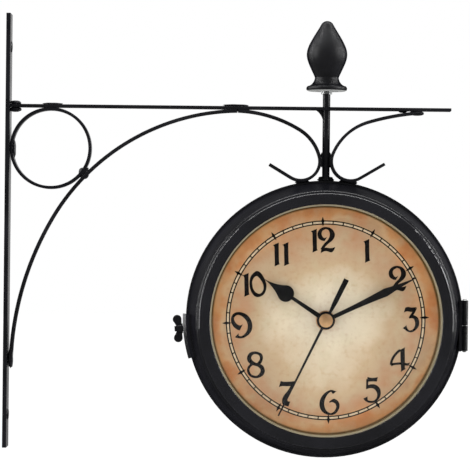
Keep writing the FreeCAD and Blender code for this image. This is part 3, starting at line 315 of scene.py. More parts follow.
def ring_lacquer(paint, side, outward):
    """Lacquered pressed steel: pale olive on the flange under the glass, satin, a little uneven where the
    lacquer pooled. The wall down to the dial is painted dark olive as shade."""
    # The two dark olives are painted shade on the ring's wall; faces turned out along Y take the pale
    # lacquer.
    return finish(f"ring_lacquer_{side}", linear("#6f5f38"), linear("#7d6b3f"), 26, (0.4, 0.55), ((7, 0.02),),
                  specular=0.2, facing=("Y", 0.4 * outward, 0.8 * outward, tuple(paint.ring_lacquer)))


def hand_lacquer():
    """Stamped hands in matt black lacquer: dusty grain half a millimetre across."""
    return finish("hand_lacquer", linear("#08080a"), linear("#101010"), 6, (0.42, 0.55), ((0.5, 0.004),),
                  specular=0.1)


def nitrile_rubber():
    """Moulded nitrile rubber: dull black with a dusty bloom."""
    return finish("nitrile_rubber", linear("#111111"), linear("#1d1d1c"), 5, (0.7, 0.85), ((0.6, 0.01),))


def rolled_aluminium():
    """Rolled aluminium sheet: streaks 25 mm long in the rolling direction, 1 mm apart so that they show."""
    return finish("rolled_aluminium", linear("#c9cacb"), linear("#a9abad"), 1, (0.32, 0.5), ((0.8, 0.003),),
                  stretch=(0.04, 1, 1), metallic=1.0)


def moulded_abs():
    """Moulded ABS: near black, with the spark-eroded mould's grain."""
    return finish("moulded_abs", linear("#151516"), linear("#1c1c1d"), 12, (0.4, 0.5), ((0.45, 0.02),))


def cell_sleeve():
    """Shrunk PVC sleeve of a dry cell: slate blue, glossy, softly wrinkled."""
    return finish("cell_sleeve", linear("#34434f"), linear("#3d4e5b"), 14, (0.2, 0.32), ((5, 0.02),),
                  coat=0.3)


def flat_ink(name, shade):
    """Screen printing ink: matt, its colour a little uneven every few millimetres."""
    return finish(name, shade, tuple(0.75 * c + 0.004 for c in shade), 2.5, (0.6, 0.75), specular=0.05)


# The panes' index of refraction. Float glass has 1.52, which lays more of the stage's room over the dial.
PANE_INDEX = 1.3


def float_glass():
    """Float glass: clear and smooth. Light and shade pass it unbent, as they do a thin pane."""
    material, tree = new_material("float_glass")
    pane = add_node(tree, "ShaderNodeBsdfPrincipled", {
        "Base Color": (1, 1, 1, 1), "Transmission Weight": 1.0, "Roughness": 0.0, "IOR": PANE_INDEX,
    })
    clear = add_node(tree, "ShaderNodeBsdfTransparent")
    path = add_node(tree, "ShaderNodeLightPath")
    through = add_node(
        tree, "ShaderNodeMath", {0: path.outputs["Is Shadow Ray"], 1: path.outputs["Is Diffuse Ray"]},
        operation="MAXIMUM",
    )
    glass = add_node(tree, "ShaderNodeMixShader", {
        0: through.outputs[0], 1: pane.outputs[0], 2: clear.outputs[0],
    })
    add_node(tree, "ShaderNodeOutputMaterial", {"Surface": glass.outputs[0]})
    return material


# Shades of the sepia vignette, from the dial's centre out, at their radius in mm.
VIGNETTE = (
    (0.0, "#dbceb8"), (23.0, "#d8caaf"), (38.0, "#cdb99b"), (46.0, "#c0a684"), (54.0, "#bda281"),
    (62.0, "#bc9a78"), (68.0, "#bc9772"), (74.0, "#cba57b"), (79.0, "#cb935f"), (86.0, "#bf8a58"),
)
# Clouds that push the vignette's rings about: their size, and the most that they push, in mm.
CLOUD_SIZE, CLOUD_PUSH = 34, 9
# The radii in mm between which the rim's stain grows, and its strength there.
STAIN_FROM, STAIN_TO, STAIN_STRENGTH = 40, 78, 0.55
# Blotches, laid one over the other: size in mm, the noise's values where they start and where they are full,
# strength (None follows the rim's stain) and shade.
BLOTCHES = (
    (17, 0.44, 0.66, None, "#b8693a"), (11, 0.5, 0.72, 0.32, "#bdb18e"), (3.2, 0.52, 0.75, 0.26, "#a8784a"),
)
# Painted shade round the print's edge, where the ring's wall shades the paper: its radii in mm, from where it
# starts to where it is full.
EDGE_SHADE_FROM, EDGE_SHADE_TO = 80.4, 81.5
# The paper's tooth: size and height in mm.
TOOTH_SIZE, TOOTH_HEIGHT = 0.7, 0.01


def vignette_paper():
    """Litho printed paper: a sepia vignette round the head's axis, its rings pushed about by soft clouds,
    with rust, olive and tan blotches, a dark line of painted shade round its edge, and the paper's tooth."""
    material, tree = new_material("vignette_paper")
    place = add_node(tree, "ShaderNodeTexCoord").outputs["Object"]
    flat = add_node(
        tree, "ShaderNodeMapping",
        {"Vector": place, "Location": (-HEAD_X, 0, -HEAD_Z), "Scale": (1, 0, 1)},
    ).outputs[0]
    radius = add_node(tree, "ShaderNodeVectorMath", {0: flat}, operation="LENGTH").outputs["Value"]
    clouds = add_node(tree, "ShaderNodeTexNoise", {
        "Vector": place, "Scale": 1 / (CLOUD_SIZE * MM), "Detail": 3.0,
    })
    push = add_node(tree, "ShaderNodeMapRange", {
        0: clouds.outputs["Fac"], 1: 0.3, 2: 0.7, 3: -CLOUD_PUSH * MM, 4: CLOUD_PUSH * MM,
    })
    reach = VIGNETTE[-1][0] * MM
    pushed = add_node(tree, "ShaderNodeMath", {0: radius, 1: push.outputs[0]}, operation="ADD")
    along = add_node(tree, "ShaderNodeMapRange", {0: pushed.outputs[0], 1: 0.0, 2: reach})
    tone = add_node(
        tree, "ShaderNodeValToRGB", {0: along.outputs[0]},
        stops=[(r * MM / reach, linear(code)) for r, code in VIGNETTE],
    ).outputs[0]
    stain = add_node(tree, "ShaderNodeMapRange", {
        0: radius, 1: STAIN_FROM * MM, 2: STAIN_TO * MM, 3: 0.0, 4: STAIN_STRENGTH,
    }).outputs[0]
    for size, low, high, strength, code in BLOTCHES:
        spots = add_node(tree, "ShaderNodeTexNoise", {
            "Vector": place, "Scale": 1 / (size * MM), "Detail": 5.0,
        })
        share = add_node(tree, "ShaderNodeMapRange", {
            0: spots.outputs["Fac"], 1: low, 2: high, 3: 0.0, 4: stain if strength is None else strength,
        })
        tone = add_node(
            tree, "ShaderNodeMix", {0: share.outputs[0], 6: tone, 7: (*linear(code), 1)}, data_type="RGBA"
        ).outputs[2]
    # Painted shade: a dark brown line round the print's edge, where the ring's wall shades the paper.
    edge_shade = add_node(tree, "ShaderNodeMapRange", {0: radius, 1: EDGE_SHADE_FROM * MM, 2: EDGE_SHADE_TO * MM})
    tone = add_node(
        tree, "ShaderNodeMix", {0: edge_shade.outputs[0], 6: tone, 7: (*linear("#5c4522"), 1)}, data_type="RGBA"
    ).outputs[2]
    tooth = add_node(tree, "ShaderNodeTexNoise", {
        "Vector": place, "Scale": 1 / (TOOTH_SIZE * MM), "Detail": 2.0,
    })
    bump = add_node(tree, "ShaderNodeBump", {
        "Height": tooth.outputs["Fac"], "Distance": TOOTH_HEIGHT * MM,
    })
    shader = add_node(tree, "ShaderNodeBsdfPrincipled", {
        "Base Color": tone, "Roughness": 0.62, "Specular IOR Level": 0.1, "Normal": bump.outputs[0],
    })
    add_node(tree, "ShaderNodeOutputMaterial", {"Surface": shader.outputs[0]})
    return material


# ---- surfaces ----


def grid_faces(rows, columns, close_rows=False, close_columns=False):
    """Quads of a grid of points laid row after row; a closed direction joins its last line to its first."""
    r = np.arange(rows if close_rows else rows - 1)
    c = np.arange(columns if close_columns else columns - 1)
    r, c = (a.ravel() for a in np.meshgrid(r, c, indexing="ij"))
    r2, c2 = (r + 1) % rows, (c + 1) % columns
    return np.stack([r * columns + c, r * columns + c2, r2 * columns + c2, r2 * columns + c], axis=1)


def joined(parts):
    """Several surfaces as one array of points and one list of faces. Each part is its points and its arrays
    of faces, whose numbers count on from the points before."""
    starts = np.cumsum([0] + [len(points) for points, _ in parts])
    points = np.concatenate([points for points, _ in parts])
    faces = []
    for (_, arrays), start in zip(parts, starts):
        for corners in arrays:
            faces += (corners + start).tolist()
    return points, faces


def lay_piece(name, points, faces, material, body, slot, smooth=False, hides=()):
    """Makes one piece of points in metres and a list of faces."""
    mesh = bpy.data.meshes.new(name)
    mesh.from_pydata(points.tolist(), [], faces)
    return settle(mesh, name, material, body, smooth, hides)


def settle(mesh, name, material, body, smooth=False, hides=()):
    """Makes a piece of a mesh: turns its faces outwards, gives it its finish, says which body it rides on,
    and hides the CAD nodes it stands for."""
    skin = bmesh.new()
    skin.from_mesh(mesh)
    bmesh.ops.recalc_face_normals(skin, faces=skin.faces)
    skin.to_mesh(mesh)
    skin.free()
    mesh.polygons.foreach_set("use_smooth", [smooth] * len(mesh.polygons))
    mesh.materials.append(material)
    piece = bpy.data.objects.new(name, mesh)
    bpy.context.scene.collection.objects.link(piece)
    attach(piece, body)
    if hides:
        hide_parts(*hides)
    return piece


def ribbon(rails, low, high):
    """A flat closed bar between two rails: each row of rails gives the left and right edge, and the bar's
    section is the rectangle over them from low to high."""
    left, right = rails[:, :2], rails[:, 2:]
    ring = [np.column_stack([edge, np.full(len(rails), height)])
            for edge, height in ((left, low), (left, high), (right, high), (right, low))]
    points = np.stack(ring, axis=1).reshape(-1, 3)
    last = 4 * (len(rails) - 1)
    ends = np.array([[0, 1, 2, 3], [last + 3, last + 2, last + 1, last]])
    return points, [np.concatenate([grid_faces(len(rails), 4, close_columns=True), ends])]


def smooth_rows(rows, steps=5):
    """A smooth line through the rows (Catmull-Rom): each span is the cubic that passes both of its rows with
    a slope of half the chord between their neighbours. A line that comes back to its start is smooth there
    too."""
    p = np.array(rows, dtype=float)
    around = np.array_equal(p[0], p[-1])
    p = np.vstack([p[-2] if around else p[0], p, p[1] if around else p[-1]])
    a, b, c, d = (p[i:len(p) - 3 + i, None] for i in range(4))
    t = np.linspace(0, 1, steps, endpoint=False)[None, :, None]
    line = b + 0.5 * t * (c - a + t * (2 * a - 5 * b + 4 * c - d + t * (3 * (b - c) + d - a)))
    return np.vstack([line.reshape(-1, p.shape[1]), p[-2]])


def spread(rails, reach, narrowest=0.05):
    """Rails in mm moved apart, each edge by reach along the line that joins the two. Where they are closer
    than narrowest they move less, so that rails that meet stay one point."""
    across = rails[:, :2] - rails[:, 2:]
    across *= reach / np.maximum(np.linalg.norm(across, axis=1), narrowest)[:, None]
    return rails + np.hstack([across, -across])


def onto_dial(points, turn, outward):
    """Dial places in mm (right, up, height over the print) as places in the frame: turned anticlockwise about
    the dial's centre, then set on the face that looks along outward (-1 front, 1 rear)."""
    right, up, height = points.T
    x = right * math.cos(turn) - up * math.sin(turn)
    z = right * math.sin(turn) + up * math.cos(turn)
    return np.column_stack([
        HEAD_X - outward * x * MM, outward * (DIAL_FACE + height * MM), HEAD_Z + z * MM,
    ])


def band(inner, outer, low, high, segments=240):
    """A flat closed ring: the rectangle between two radii and two heights carried round the centre."""
    angle = np.linspace(0, 2 * math.pi, segments, endpoint=False)[:, None]
    radius = np.array([inner, inner, outer, outer])[None]
    height = np.broadcast_to(np.array([low, high, high, low]), (segments, 4))
    points = np.stack([radius * np.sin(angle), radius * np.cos(angle), height], axis=2).reshape(-1, 3)
    return points, [grid_faces(segments, 4, close_rows=True, close_columns=True)]


def spun(part, degrees):
    """A surface turned clockwise about the dial's centre."""
    points, faces = part
    a = math.radians(degrees)
    right, up, height = points.T
    return np.column_stack([
        right * math.cos(a) + up * math.sin(a), up * math.cos(a) - right * math.sin(a), height
    ]), faces


# A bead's form. Its box's share that the poles reach, the power that squares its roundness, and the depth of
# its ripples and of each slow wave as shares of its radius. RIPPLE_PITCH is the ripples' phase from middle to
# pole, and RIPPLE_BOW how far they bow round the bead, both in radians.
POLE_REACH, SQUARENESS, RIPPLE_DEPTH, WAVE_DEPTH = 0.93, 0.8, 0.035, 0.03
RIPPLE_PITCH, RIPPLE_BOW = 9.0, 1.2


def lump(low, high, seed, rows=15, columns=28):
    """A weld bead that fills its box: a sphere's grid of latitudes and longitudes stretched to the box, its
    radius let down by ripples across the longest way and by three slow random waves, so that it stays
    inside."""
    random = np.random.default_rng(seed)
    low, high = np.array(low), np.array(high)
    centre, half = (low + high) / 2, (high - low) / 2
    v = np.linspace(0, math.pi, rows)[1:-1, None]
    u = np.linspace(0, 2 * math.pi, columns, endpoint=False)[None]
    along = int(np.argmax(half))
    around = [axis for axis in range(3) if axis != along]
    way = np.empty((rows - 2, columns, 3))
    way[..., along] = np.cos(v) * np.ones_like(u)
    way[..., around[0]] = np.sin(v) * np.cos(u)
    way[..., around[1]] = np.sin(v) * np.sin(u)
    squarer = np.sign(way) * np.abs(way) ** SQUARENESS
    ripple = RIPPLE_DEPTH * (
        1 + np.cos(way[..., along] * RIPPLE_PITCH + random.uniform(0, 6) + RIPPLE_BOW * np.sin(u))
    )
    waves = sum(
        WAVE_DEPTH * (1 + np.sin(way @ random.uniform(-3, 3, 3) + random.uniform(0, 6))) for _ in range(3)
    )
    skin = centre + half * squarer * (1 - ripple - waves)[..., None]
    pole = np.zeros(3)
    pole[along] = POLE_REACH * half[along]
    points = np.vstack([skin.reshape(-1, 3), centre + pole, centre - pole])
    c = np.arange(columns)
    top, bottom = len(points) - 2, len(points) - 1
    last = (rows - 3) * columns
    return points, [
        grid_faces(rows - 2, columns, close_columns=True),
        np.column_stack([np.full(columns, top), c, (c + 1) % columns]),
        np.column_stack([np.full(columns, bottom), last + (c + 1) % columns, last + c]),
    ]


# Corners of a CAD mesh closer than this are one, in mm. Faces within FLAT_WITHIN are one flat, and edges past
# SHARP_PAST are rounded, both in degrees.
MERGE_WITHIN, FLAT_WITHIN, SHARP_PAST = 0.002, 0.4, 38
# Radius in mm to which paint rounds a bar's edges.
PAINT_ROUND = 0.25


def merged(node):
    """A copy of a CAD node's triangles with their shared corners merged, as a bmesh."""
    skin = bmesh.new()
    skin.from_mesh(frame["nodes"][node].data)
    bmesh.ops.remove_doubles(skin, verts=skin.verts, dist=MERGE_WITHIN * MM)
    return skin


def bead_boxes(node):
    """The box of each separate bead in a node, in order of place. Beads are told apart by walking their
    edges."""
    skin = merged(node)
    left, boxes = set(skin.verts), []
    while left:
        reach, bead = [left.pop()], []
        while reach:
            corner = reach.pop()
            bead.append(tuple(corner.co))
            for edge in corner.link_edges:
                other = edge.other_vert(corner)
                if other in left:
                    left.remove(other)
                    reach.append(other)
        places = np.array(bead)
        boxes.append((tuple(places.min(axis=0).round(6)), tuple(places.max(axis=0).round(6))))
    skin.free()
    return sorted(boxes)


def eased(node, material):
    """A steel piece of the bracket as the paint leaves it: its own shape with its sharp edges rounded."""
    skin = merged(node)
    bmesh.ops.dissolve_limit(
        skin, angle_limit=math.radians(FLAT_WITHIN), verts=skin.verts, edges=skin.edges, delimit={"NORMAL"}
    )
    mesh = bpy.data.meshes.new(f"{node}_painted")
    skin.to_mesh(mesh)
    skin.free()
    piece = settle(mesh, mesh.name, material, NODE_BODY[node], True, (node,))
    bevel = piece.modifiers.new("paint round", "BEVEL")
    bevel.width = PAINT_ROUND * MM
    bevel.segments = 2
    bevel.limit_method = "ANGLE"
    bevel.angle_limit = math.radians(SHARP_PAST)
    bevel.harden_normals = True
    bevel.use_clamp_overlap = True


def dress(material, *nodes):
    """Gives CAD nodes that stay as they are their finish."""
    for node in nodes:
        solid = frame["nodes"][node]
        for place in solid.material_slots:
            place.material = material


def both(*names):
    """The front's and the rear's node of each name."""
    return [f"{side}_{name}" for name in names for side, _, _ in SIDES]


# ---- weld metal ----

# Weld metal run on between two bars that touch: its middle in mm right of and above the origin, its length
# and thickness in mm, and its slope in degrees. Ring to brace, brace to arm, then outer scroll to arm.
WELD_RUNS = ((56.0, 42.4, 12.6, 3.1, 43.0), (169.0, 89.6, 9.0, 2.8, 0.0), (289.4, 90.3, 7.5, 3.8, 4.0))
# How far such a run reaches to each side of the bars' middle, as a share of their width.
RUN_REACH = 0.42
# How much a bead stands past each side of the plain bead it replaces, as a share of that bead's size.
BEAD_SWELL = 0.12


# ---- numerals and minute track ----

# Each digit's pen strokes, in mm about its middle. A row of a stroke is the pen's left edge, then its right.
STROKES = {
    "0": (
        ((-1.1, 8.9, -0.9, 6.2), (1.5, 8.2, 0.6, 5.3), (3.7, 5.1, 2.2, 3.4), (5, 2.2, 3.6, 1),
         (5.7, -0.9, 4.3, -1.3), (5.3, -4.2, 4.1, -4.2), (3.9, -7, 2.8, -6.4), (1.5, -8.6, 1, -7.4),
         (-1.1, -8.9, -1, -6.8), (-3.3, -7.5, -2.6, -5.5), (-5, -4.4, -3.9, -3.2),
         (-5.7, -0.8, -4.4, -0.6), (-5.5, 2.8, -4.4, 2.2), (-4.3, 6.1, -3, 5), (-1.1, 8.9, -0.9, 6.2)),
    ),
    "1": (
        ((-2, 6.9, 1.7, 8.4), (-0.9, 5.4, 1.5, 6.2), (-0.9, 0.5, 1.4, 0.4), (-0.9, -5.7, 1.4, -5.7),
         (-1.2, -8.4, 2, -7.1)),
    ),
    "2": (
        ((-1.2, -0.4, 0.3, 2), (-3.1, -0.1, -1.7, 1.1), (-5.1, 1.2, -3, 2.1), (-6, 3.2, -3.8, 3.8),
         (-5.9, 5.4, -3.8, 5.3), (-4.7, 7.4, -3.1, 6.8), (-2.6, 8.7, -1.7, 7.7), (-0.2, 9, -0.2, 8.2),
         (2.6, 8.3, 1.7, 7.4), (4.6, 6.6, 2.5, 5.9), (5.6, 4.2, 2.8, 4), (5.3, 1.9, 2.4, 2),
         (3.6, -0.5, 1.1, -0.2), (0.7, -2.7, -1.1, -2.3), (-1.6, -4.9, -2.8, -4.5),
         (-3, -6.9, -4.3, -6.6)),
        ((-4, -6.8, -4.5, -9), (-2.5, -6.1, -2.5, -7.9), (-0.4, -5.9, -0.3, -7.6),
         (1.9, -6.3, 1.8, -8.3), (3.9, -6.2, 3.6, -8.5), (6, -5.6, 5.3, -7.1)),
    ),
    "3": (
        ((-3.9, 8.2, -4.7, 5.6), (-1.9, 8.8, -2.5, 6.4), (0.7, 8.3, 0.1, 5.9), (2.7, 8.4, 1.9, 6.1),
         (4.5, 8.5, 2.7, 6.9)),
        ((2.6, 7.2, 4.5, 8.1), (1.4, 5.1, 2.6, 4.9), (0, 3, 1.2, 2.9), (-1.1, 1.5, 0.5, 2)),
        ((-1.2, 1.7, -1.1, 1.2), (0.8, 2.8, 0.9, 1.4), (2.8, 2.5, 2.3, 0.6), (4.8, 0.9, 3.2, -1.4),
         (5.7, -1.8, 3.4, -3.2), (5.3, -4.6, 2.9, -5.3), (3.8, -6.8, 1.8, -6.9), (1.6, -8.4, 0.5, -7.8),
         (-0.6, -8.8, -0.9, -8.1), (-2.6, -8.1, -2.3, -7.3), (-4.3, -6.7, -3.2, -5.9),
         (-5.7, -5.8, -3.5, -4.2)),
    ),
    "4": (
        ((0, 7.4, 0.8, 6.7), (-2.4, 5.4, -1.7, 4.8), (-4.8, 2.7, -4, 2.2), (-6.4, -0.3, -5.5, -0.6),
         (-7.2, -3.4, -6.1, -3.6)),
        ((-7, -3.1, -6.6, -4.2), (-4.7, -2.6, -4.4, -3.4), (-2.1, -2.4, -2.1, -3.2),
         (0.5, -2.3, 0.5, -3.2), (3, -2.5, 3, -3.7), (5.1, -3.1, 5.1, -4.1), (7.2, -2.4, 6.4, -3.6)),
        ((0.1, 7, 3.5, 8.7), (0.7, 6.1, 3.2, 7.1), (0.7, 2, 3.1, 1.9), (0.8, -3.2, 3, -3.2),
         (0.9, -6.8, 3, -6), (0.4, -8.7, 3.6, -6.9)),
    ),
    "5": (
        ((-2.9, 9, -3.3, 6.4), (-0.7, 8.3, -0.9, 6.4), (1.9, 8.2, 1.6, 6.4), (4.5, 8.7, 3.9, 6.2)),
        ((-3.4, 7.7, -2.6, 7.7), (-3.5, 5.1, -2.8, 5.1), (-3.6, 3.1, -2.9, 3), (-3.8, 0.9, -2.8, 1.3)),
        ((-2.9, 3, -3.8, 0.8), (-0.8, 3.6, -1.5, 1.6), (1.8, 3.5, 0.9, 1.4), (4.2, 2.2, 2.6, 0.3),
         (5.7, 0, 3.8, -1.8), (6, -2.6, 4.1, -3.8), (5.4, -5.2, 3.6, -5.8), (3.8, -7.4, 2.3, -7.4),
         (1.4, -8.8, 0.7, -8.2), (-0.9, -9, -1.1, -8.3), (-3.2, -8.5, -3.1, -7.7),
         (-5, -7.2, -3.6, -6.5), (-6, -6, -3.5, -4.8)),
    ),
    "6": (
        ((5, 7.8, 3, 6.3), (3.6, 8.1, 2.2, 7.3), (1.7, 8.7, 1.3, 8), (-0.6, 8.1, -0.5, 7),
         (-3.5, 6.1, -2.3, 5.1), (-5.8, 3.1, -3.6, 2.4), (-6.8, -0.1, -4.2, -0.4),
         (-6.5, -3.5, -3.8, -3.6), (-5, -6.3, -2.7, -5.9), (-2.4, -8.1, -0.8, -7.4),
         (0.7, -8.7, 0.9, -8), (3.5, -8, 3.1, -7), (5.8, -5.6, 4.5, -5.2), (6.8, -2.8, 5.2, -3.1),
         (6.5, -0.6, 4.7, -1.1), (5.2, 1.3, 3.6, 0), (3.3, 2.3, 2.1, 0.6), (1.8, 1.8, 1.2, 0.5),
         (-0.1, 0.4, -0.1, 0.2)),
    ),
    "7": (
        ((-4.3, 8.9, -5.6, 5.1), (-2.7, 8.3, -3.3, 5.9), (0.3, 8.1, 0, 5.7), (3.4, 8.2, 3, 5.8),
         (5.6, 8.5, 4.4, 6.5)),
        ((3.4, 6.4, 5.6, 8.4), (2.2, 4, 4.4, 4.9), (0.4, 1.4, 2.9, 2.4), (-1.5, -0.8, 1.4, -0.2),
         (-3, -3.6, 0.1, -2.9), (-3.2, -6.4, -0.1, -5.1), (-2.1, -8, 0.6, -5.9), (1, -8.9, 2.1, -6.1)),
    ),
    "8": (
        ((0.8, 0.6, 2.9, 0.5), (2.9, 2.9, 4.2, 2.3), (3.5, 4.9, 4.9, 5), (2.7, 7, 4, 7.7),
         (0.1, 8.1, 0.2, 9.2), (-2.2, 7.5, -3.7, 8.6), (-3.5, 5.4, -5.7, 5.7), (-2.8, 3.3, -5.5, 3.1),
         (-0.6, 1.6, -3.7, 0.9), (2.9, 0.4, -0.9, -0.4), (5, -1.2, 1.9, -1.4), (6, -3.9, 3.6, -3.5),
         (5.5, -6.2, 3.5, -5.3), (3.5, -8.3, 2, -7.4), (-0.3, -9.2, -0.3, -8.3),
         (-4.2, -7.8, -3.6, -7.1), (-6, -4.6, -5, -4.2), (-5.6, -1.7, -4.6, -2), (-3.9, 0.3, -2.8, -0.2),
         (-2.9, 1, -1.6, 0.2)),
    ),
    "9": (
        ((-1.2, -3.4, 0.7, 0.2), (-3.1, -2.7, -1.5, -0.5), (-5.3, -0.9, -3.5, 0.5),
         (-6.8, 1.6, -5.1, 2.6), (-7.2, 3.9, -5.7, 4.4), (-6.6, 6.4, -5.5, 5.9), (-4.9, 8.4, -4.1, 7.3),
         (-2.3, 9.1, -2.3, 7.8), (0.5, 8.7, 0, 7.1), (3.6, 7.2, 2, 5.5), (6.1, 4.1, 3.9, 3.1),
         (7.2, 0.7, 4.8, 0.2), (7.1, -2.7, 4.6, -2.7), (5.7, -5.6, 3.5, -5.2), (3.4, -7.7, 1.9, -7),
         (0.8, -8.9, 0.2, -8.1), (-1.5, -9.1, -1.5, -8.3), (-3, -8.8, -2.5, -7.5),
         (-4.9, -8.3, -2.5, -6)),
    ),
}
# Where each digit's middle sits on the upright dial, in mm right of and above its centre.
DIGIT_PLACES = (
    ("1", 31.0, 49.1), ("2", 52.7, 28.3), ("3", 61.2, -1.2), ("4", 52.7, -29.8), ("5", 31.8, -50.9),
    ("6", 1.1, -59.2), ("7", -29.3, -51.9), ("8", -51.1, -30.6), ("9", -60.5, -1.8), ("1", -56.4, 27.1),
    ("0", -47.9, 27.4), ("1", -34.1, 48.3), ("1", -27.2, 48.4), ("1", -6.5, 57.5), ("2", 2.3, 57.7),
)
# Half widths in mm of an hour star at its two points, on the track's inner line and either side of its arms.
STAR_POINT, STAR_STEM, STAR_WAIST = 0.15, 0.6, 0.8


# ---- operators ----


class STATIONCLOCK_OT_bracket(bpy.types.Operator):
    """Paint the bracket: wall plate, arm, ring, brace, scrolls, post and gusset"""

    bl_idname = "stationclock.bracket"
    bl_label = "Bracket"

    def execute(self, context):
        paint = context.scene.station_clock_paint
        for node in ("wall_plate", "ring"):
            eased(node, brushed_enamel(paint))
        dusty = brushed_enamel(paint, dusty=True)
        for node in ("arm", "brace", "inner_scroll", "outer_scroll", "gusset"):
            eased(node, dusty)
        dress(dusty, "post")
        dress(zinc_plate(paint), "post_collar")
        return {"FINISHED"}


class STATIONCLOCK_OT_welds(bpy.types.Operator):
    """Lay a rippled bead in the place of each weld, and run weld metal on where bars touch"""

    bl_idname = "stationclock.welds"
    bl_label = "Welds"

    def execute(self, context):
        lowest, highest = CAD_BOX
        arm_low, arm_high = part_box("arm")
        beads, laid = [], 0
        for right, up, run, thick, degrees in WELD_RUNS:
            half = np.array([run * MM / 2, RUN_REACH * (arm_high.y - arm_low.y), thick * MM / 2])
            points, faces = lump(-half, half, laid)
            a = math.radians(degrees)
            x, y, z = points.T
            beads.append((np.column_stack([
                right * MM + x * math.cos(a) - z * math.sin(a), y, up * MM + x * math.sin(a) + z * math.cos(a)
            ]), faces))
            laid += len(points)
        for seed, (low, high) in enumerate(bead_boxes("weld_beads")):
            swell = BEAD_SWELL * (np.array(high) - np.array(low))
            beads.append(lump(np.maximum(low - swell, lowest), np.minimum(high + swell, highest), seed))
        lay_piece(
            "weld_beads_rippled", *joined(beads), weld_enamel(context.scene.station_clock_paint),
            "root", "black_paint", smooth=True, hides=("weld_beads",),
        )
        return {"FINISHED"}


class STATIONCLOCK_OT_finial(bpy.types.Operator):
    """Paint the finial, with its seat left bare underneath"""

    bl_idname = "stationclock.finial"
    bl_label = "Finial"

    def execute(self, context):
        dress(finial_enamel(context.scene.station_clock_paint), "finial")
        return {"FINISHED"}


class STATIONCLOCK_OT_case(bpy.types.Operator):
    """Paint both halves of the case, the bezels, the hinge and the latch"""

    bl_idname = "stationclock.case"
    bl_label = "Case"

    def execute(self, context):
        paint = context.scene.station_clock_paint
        dress(sprayed_enamel(paint), *both("case", "hinge_leaf"), "latch_strap", "latch_stud", "wing_nut")
        dress(bezel_enamel(paint), *both("bezel"))
        dress(zinc_plate(paint), "hinge_pin")
        return {"FINISHED"}


class STATIONCLOCK_OT_glazing(bpy.types.Operator):
    """Finish the glasses, their gaskets and the rings between the glasses and the dials"""

    bl_idname = "stationclock.glazing"
    bl_label = "Glazing"

    def execute(self, context):
        dress(float_glass(), *both("glass"))
        dress(nitrile_rubber(), *both("glass_gasket"))
        for side, _, outward in SIDES:
            lacquer = ring_lacquer(context.scene.station_clock_paint, side, outward)
            dress(lacquer, f"{side}_dial_ring")
        return {"FINISHED"}


class STATIONCLOCK_OT_dials(bpy.types.Operator):
    """Finish the dial prints, the plates behind them and their clips"""

    bl_idname = "stationclock.dials"
    bl_label = "Dials"

    def execute(self, context):
        dress(vignette_paper(), *both("dial_print"))
        dress(rolled_aluminium(), *both("dial_plate", "dial_clips"))
        return {"FINISHED"}


class STATIONCLOCK_OT_minute_track(bpy.types.Operator):
    """Print the minute track on both dials: two lines, cream between them, minute marks and hour stars"""

    bl_idname = "stationclock.minute_track"
    bl_label = "Minute track"

    def execute(self, context):
        paint, dial = context.scene.station_clock_paint, context.scene.station_clock_dial
        inner, outer, width = dial.inner_line / MM, dial.outer_line / MM, dial.line_width / MM
        high = dial.ink_height / MM
        low = -high
        half = dial.mark_width / MM / 2
        mark = ribbon(np.array([(-half, inner, half, inner), (-half, outer, half, outer)]), low, high)
        reach = dial.star_reach / MM
        star = ribbon(np.array([(-wide, up, wide, up) for wide, up in (
            (STAR_POINT, inner - reach / 2), (STAR_STEM, inner), (STAR_WAIST, outer - STAR_WAIST),
            (dial.star_width / MM, outer), (STAR_WAIST, outer + STAR_WAIST), (STAR_POINT, outer + reach),
        )]), low, high)
        lines = [band(r - width / 2, r + width / 2, low, high) for r in (inner, outer)]
        lines += [spun(star if minute % 5 == 0 else mark, 6 * minute) for minute in range(60)]
        ink = joined(lines)
        cream = joined([band(inner, outer, low, high / 2)])
        for side, body, outward in SIDES:
            for name, (points, faces), material in (
                ("track_ink", ink, flat_ink("printing_ink", paint.ink)),
                ("track_cream", cream, flat_ink("cream_ink", paint.cream)),
            ):
                lay_piece(f"{side}_{name}", onto_dial(points, dial.turn, outward), faces, material, body,
                          "dial_paper")
        return {"FINISHED"}


class STATIONCLOCK_OT_numerals(bpy.types.Operator):
    """Print the pen drawn numerals 1 to 12 on both dials"""

    bl_idname = "stationclock.numerals"
    bl_label = "Numerals"

    def execute(self, context):
        paint, dial = context.scene.station_clock_paint, context.scene.station_clock_dial
        high = dial.ink_height / MM
        strokes = []
        for digit, right, up in DIGIT_PLACES:
            for stroke in STROKES[digit]:
                rails = spread(smooth_rows(stroke), dial.pen_spread / MM)
                strokes.append(ribbon(rails + np.array([right, up, right, up]), -high, high))
        points, faces = joined(strokes)
        for side, body, outward in SIDES:
            lay_piece(f"{side}_numerals", onto_dial(points, dial.turn, outward), faces,
                      flat_ink("printing_ink", paint.ink), body, "dial_paper")
        return {"FINISHED"}


class STATIONCLOCK_OT_hands(bpy.types.Operator):
    """Finish the hands and the caps on them"""

    bl_idname = "stationclock.hands"
    bl_label = "Hands"

    def execute(self, context):
        dress(hand_lacquer(), *both("hour_hand", "minute_hand", "second_hand"))
        dress(turned_brass(context.scene.station_clock_paint), *both("hand_cap"))
        return {"FINISHED"}


class STATIONCLOCK_OT_movements(bpy.types.Operator):
    """Finish what is behind the dials: movements, cells, contacts, nuts, arbors and knobs"""

    bl_idname = "stationclock.movements"
    bl_label = "Movements"

    def execute(self, context):
        paint = context.scene.station_clock_paint
        dress(moulded_abs(), *both("movement", "hour_pipe", "setting_knob"))
        dress(cell_sleeve(), *both("battery"))
        dress(zinc_plate(paint), *both("battery_contacts", "second_arbor"))
        dress(turned_brass(paint), *both("dial_washer", "dial_nut", "minute_arbor"))
        return {"FINISHED"}


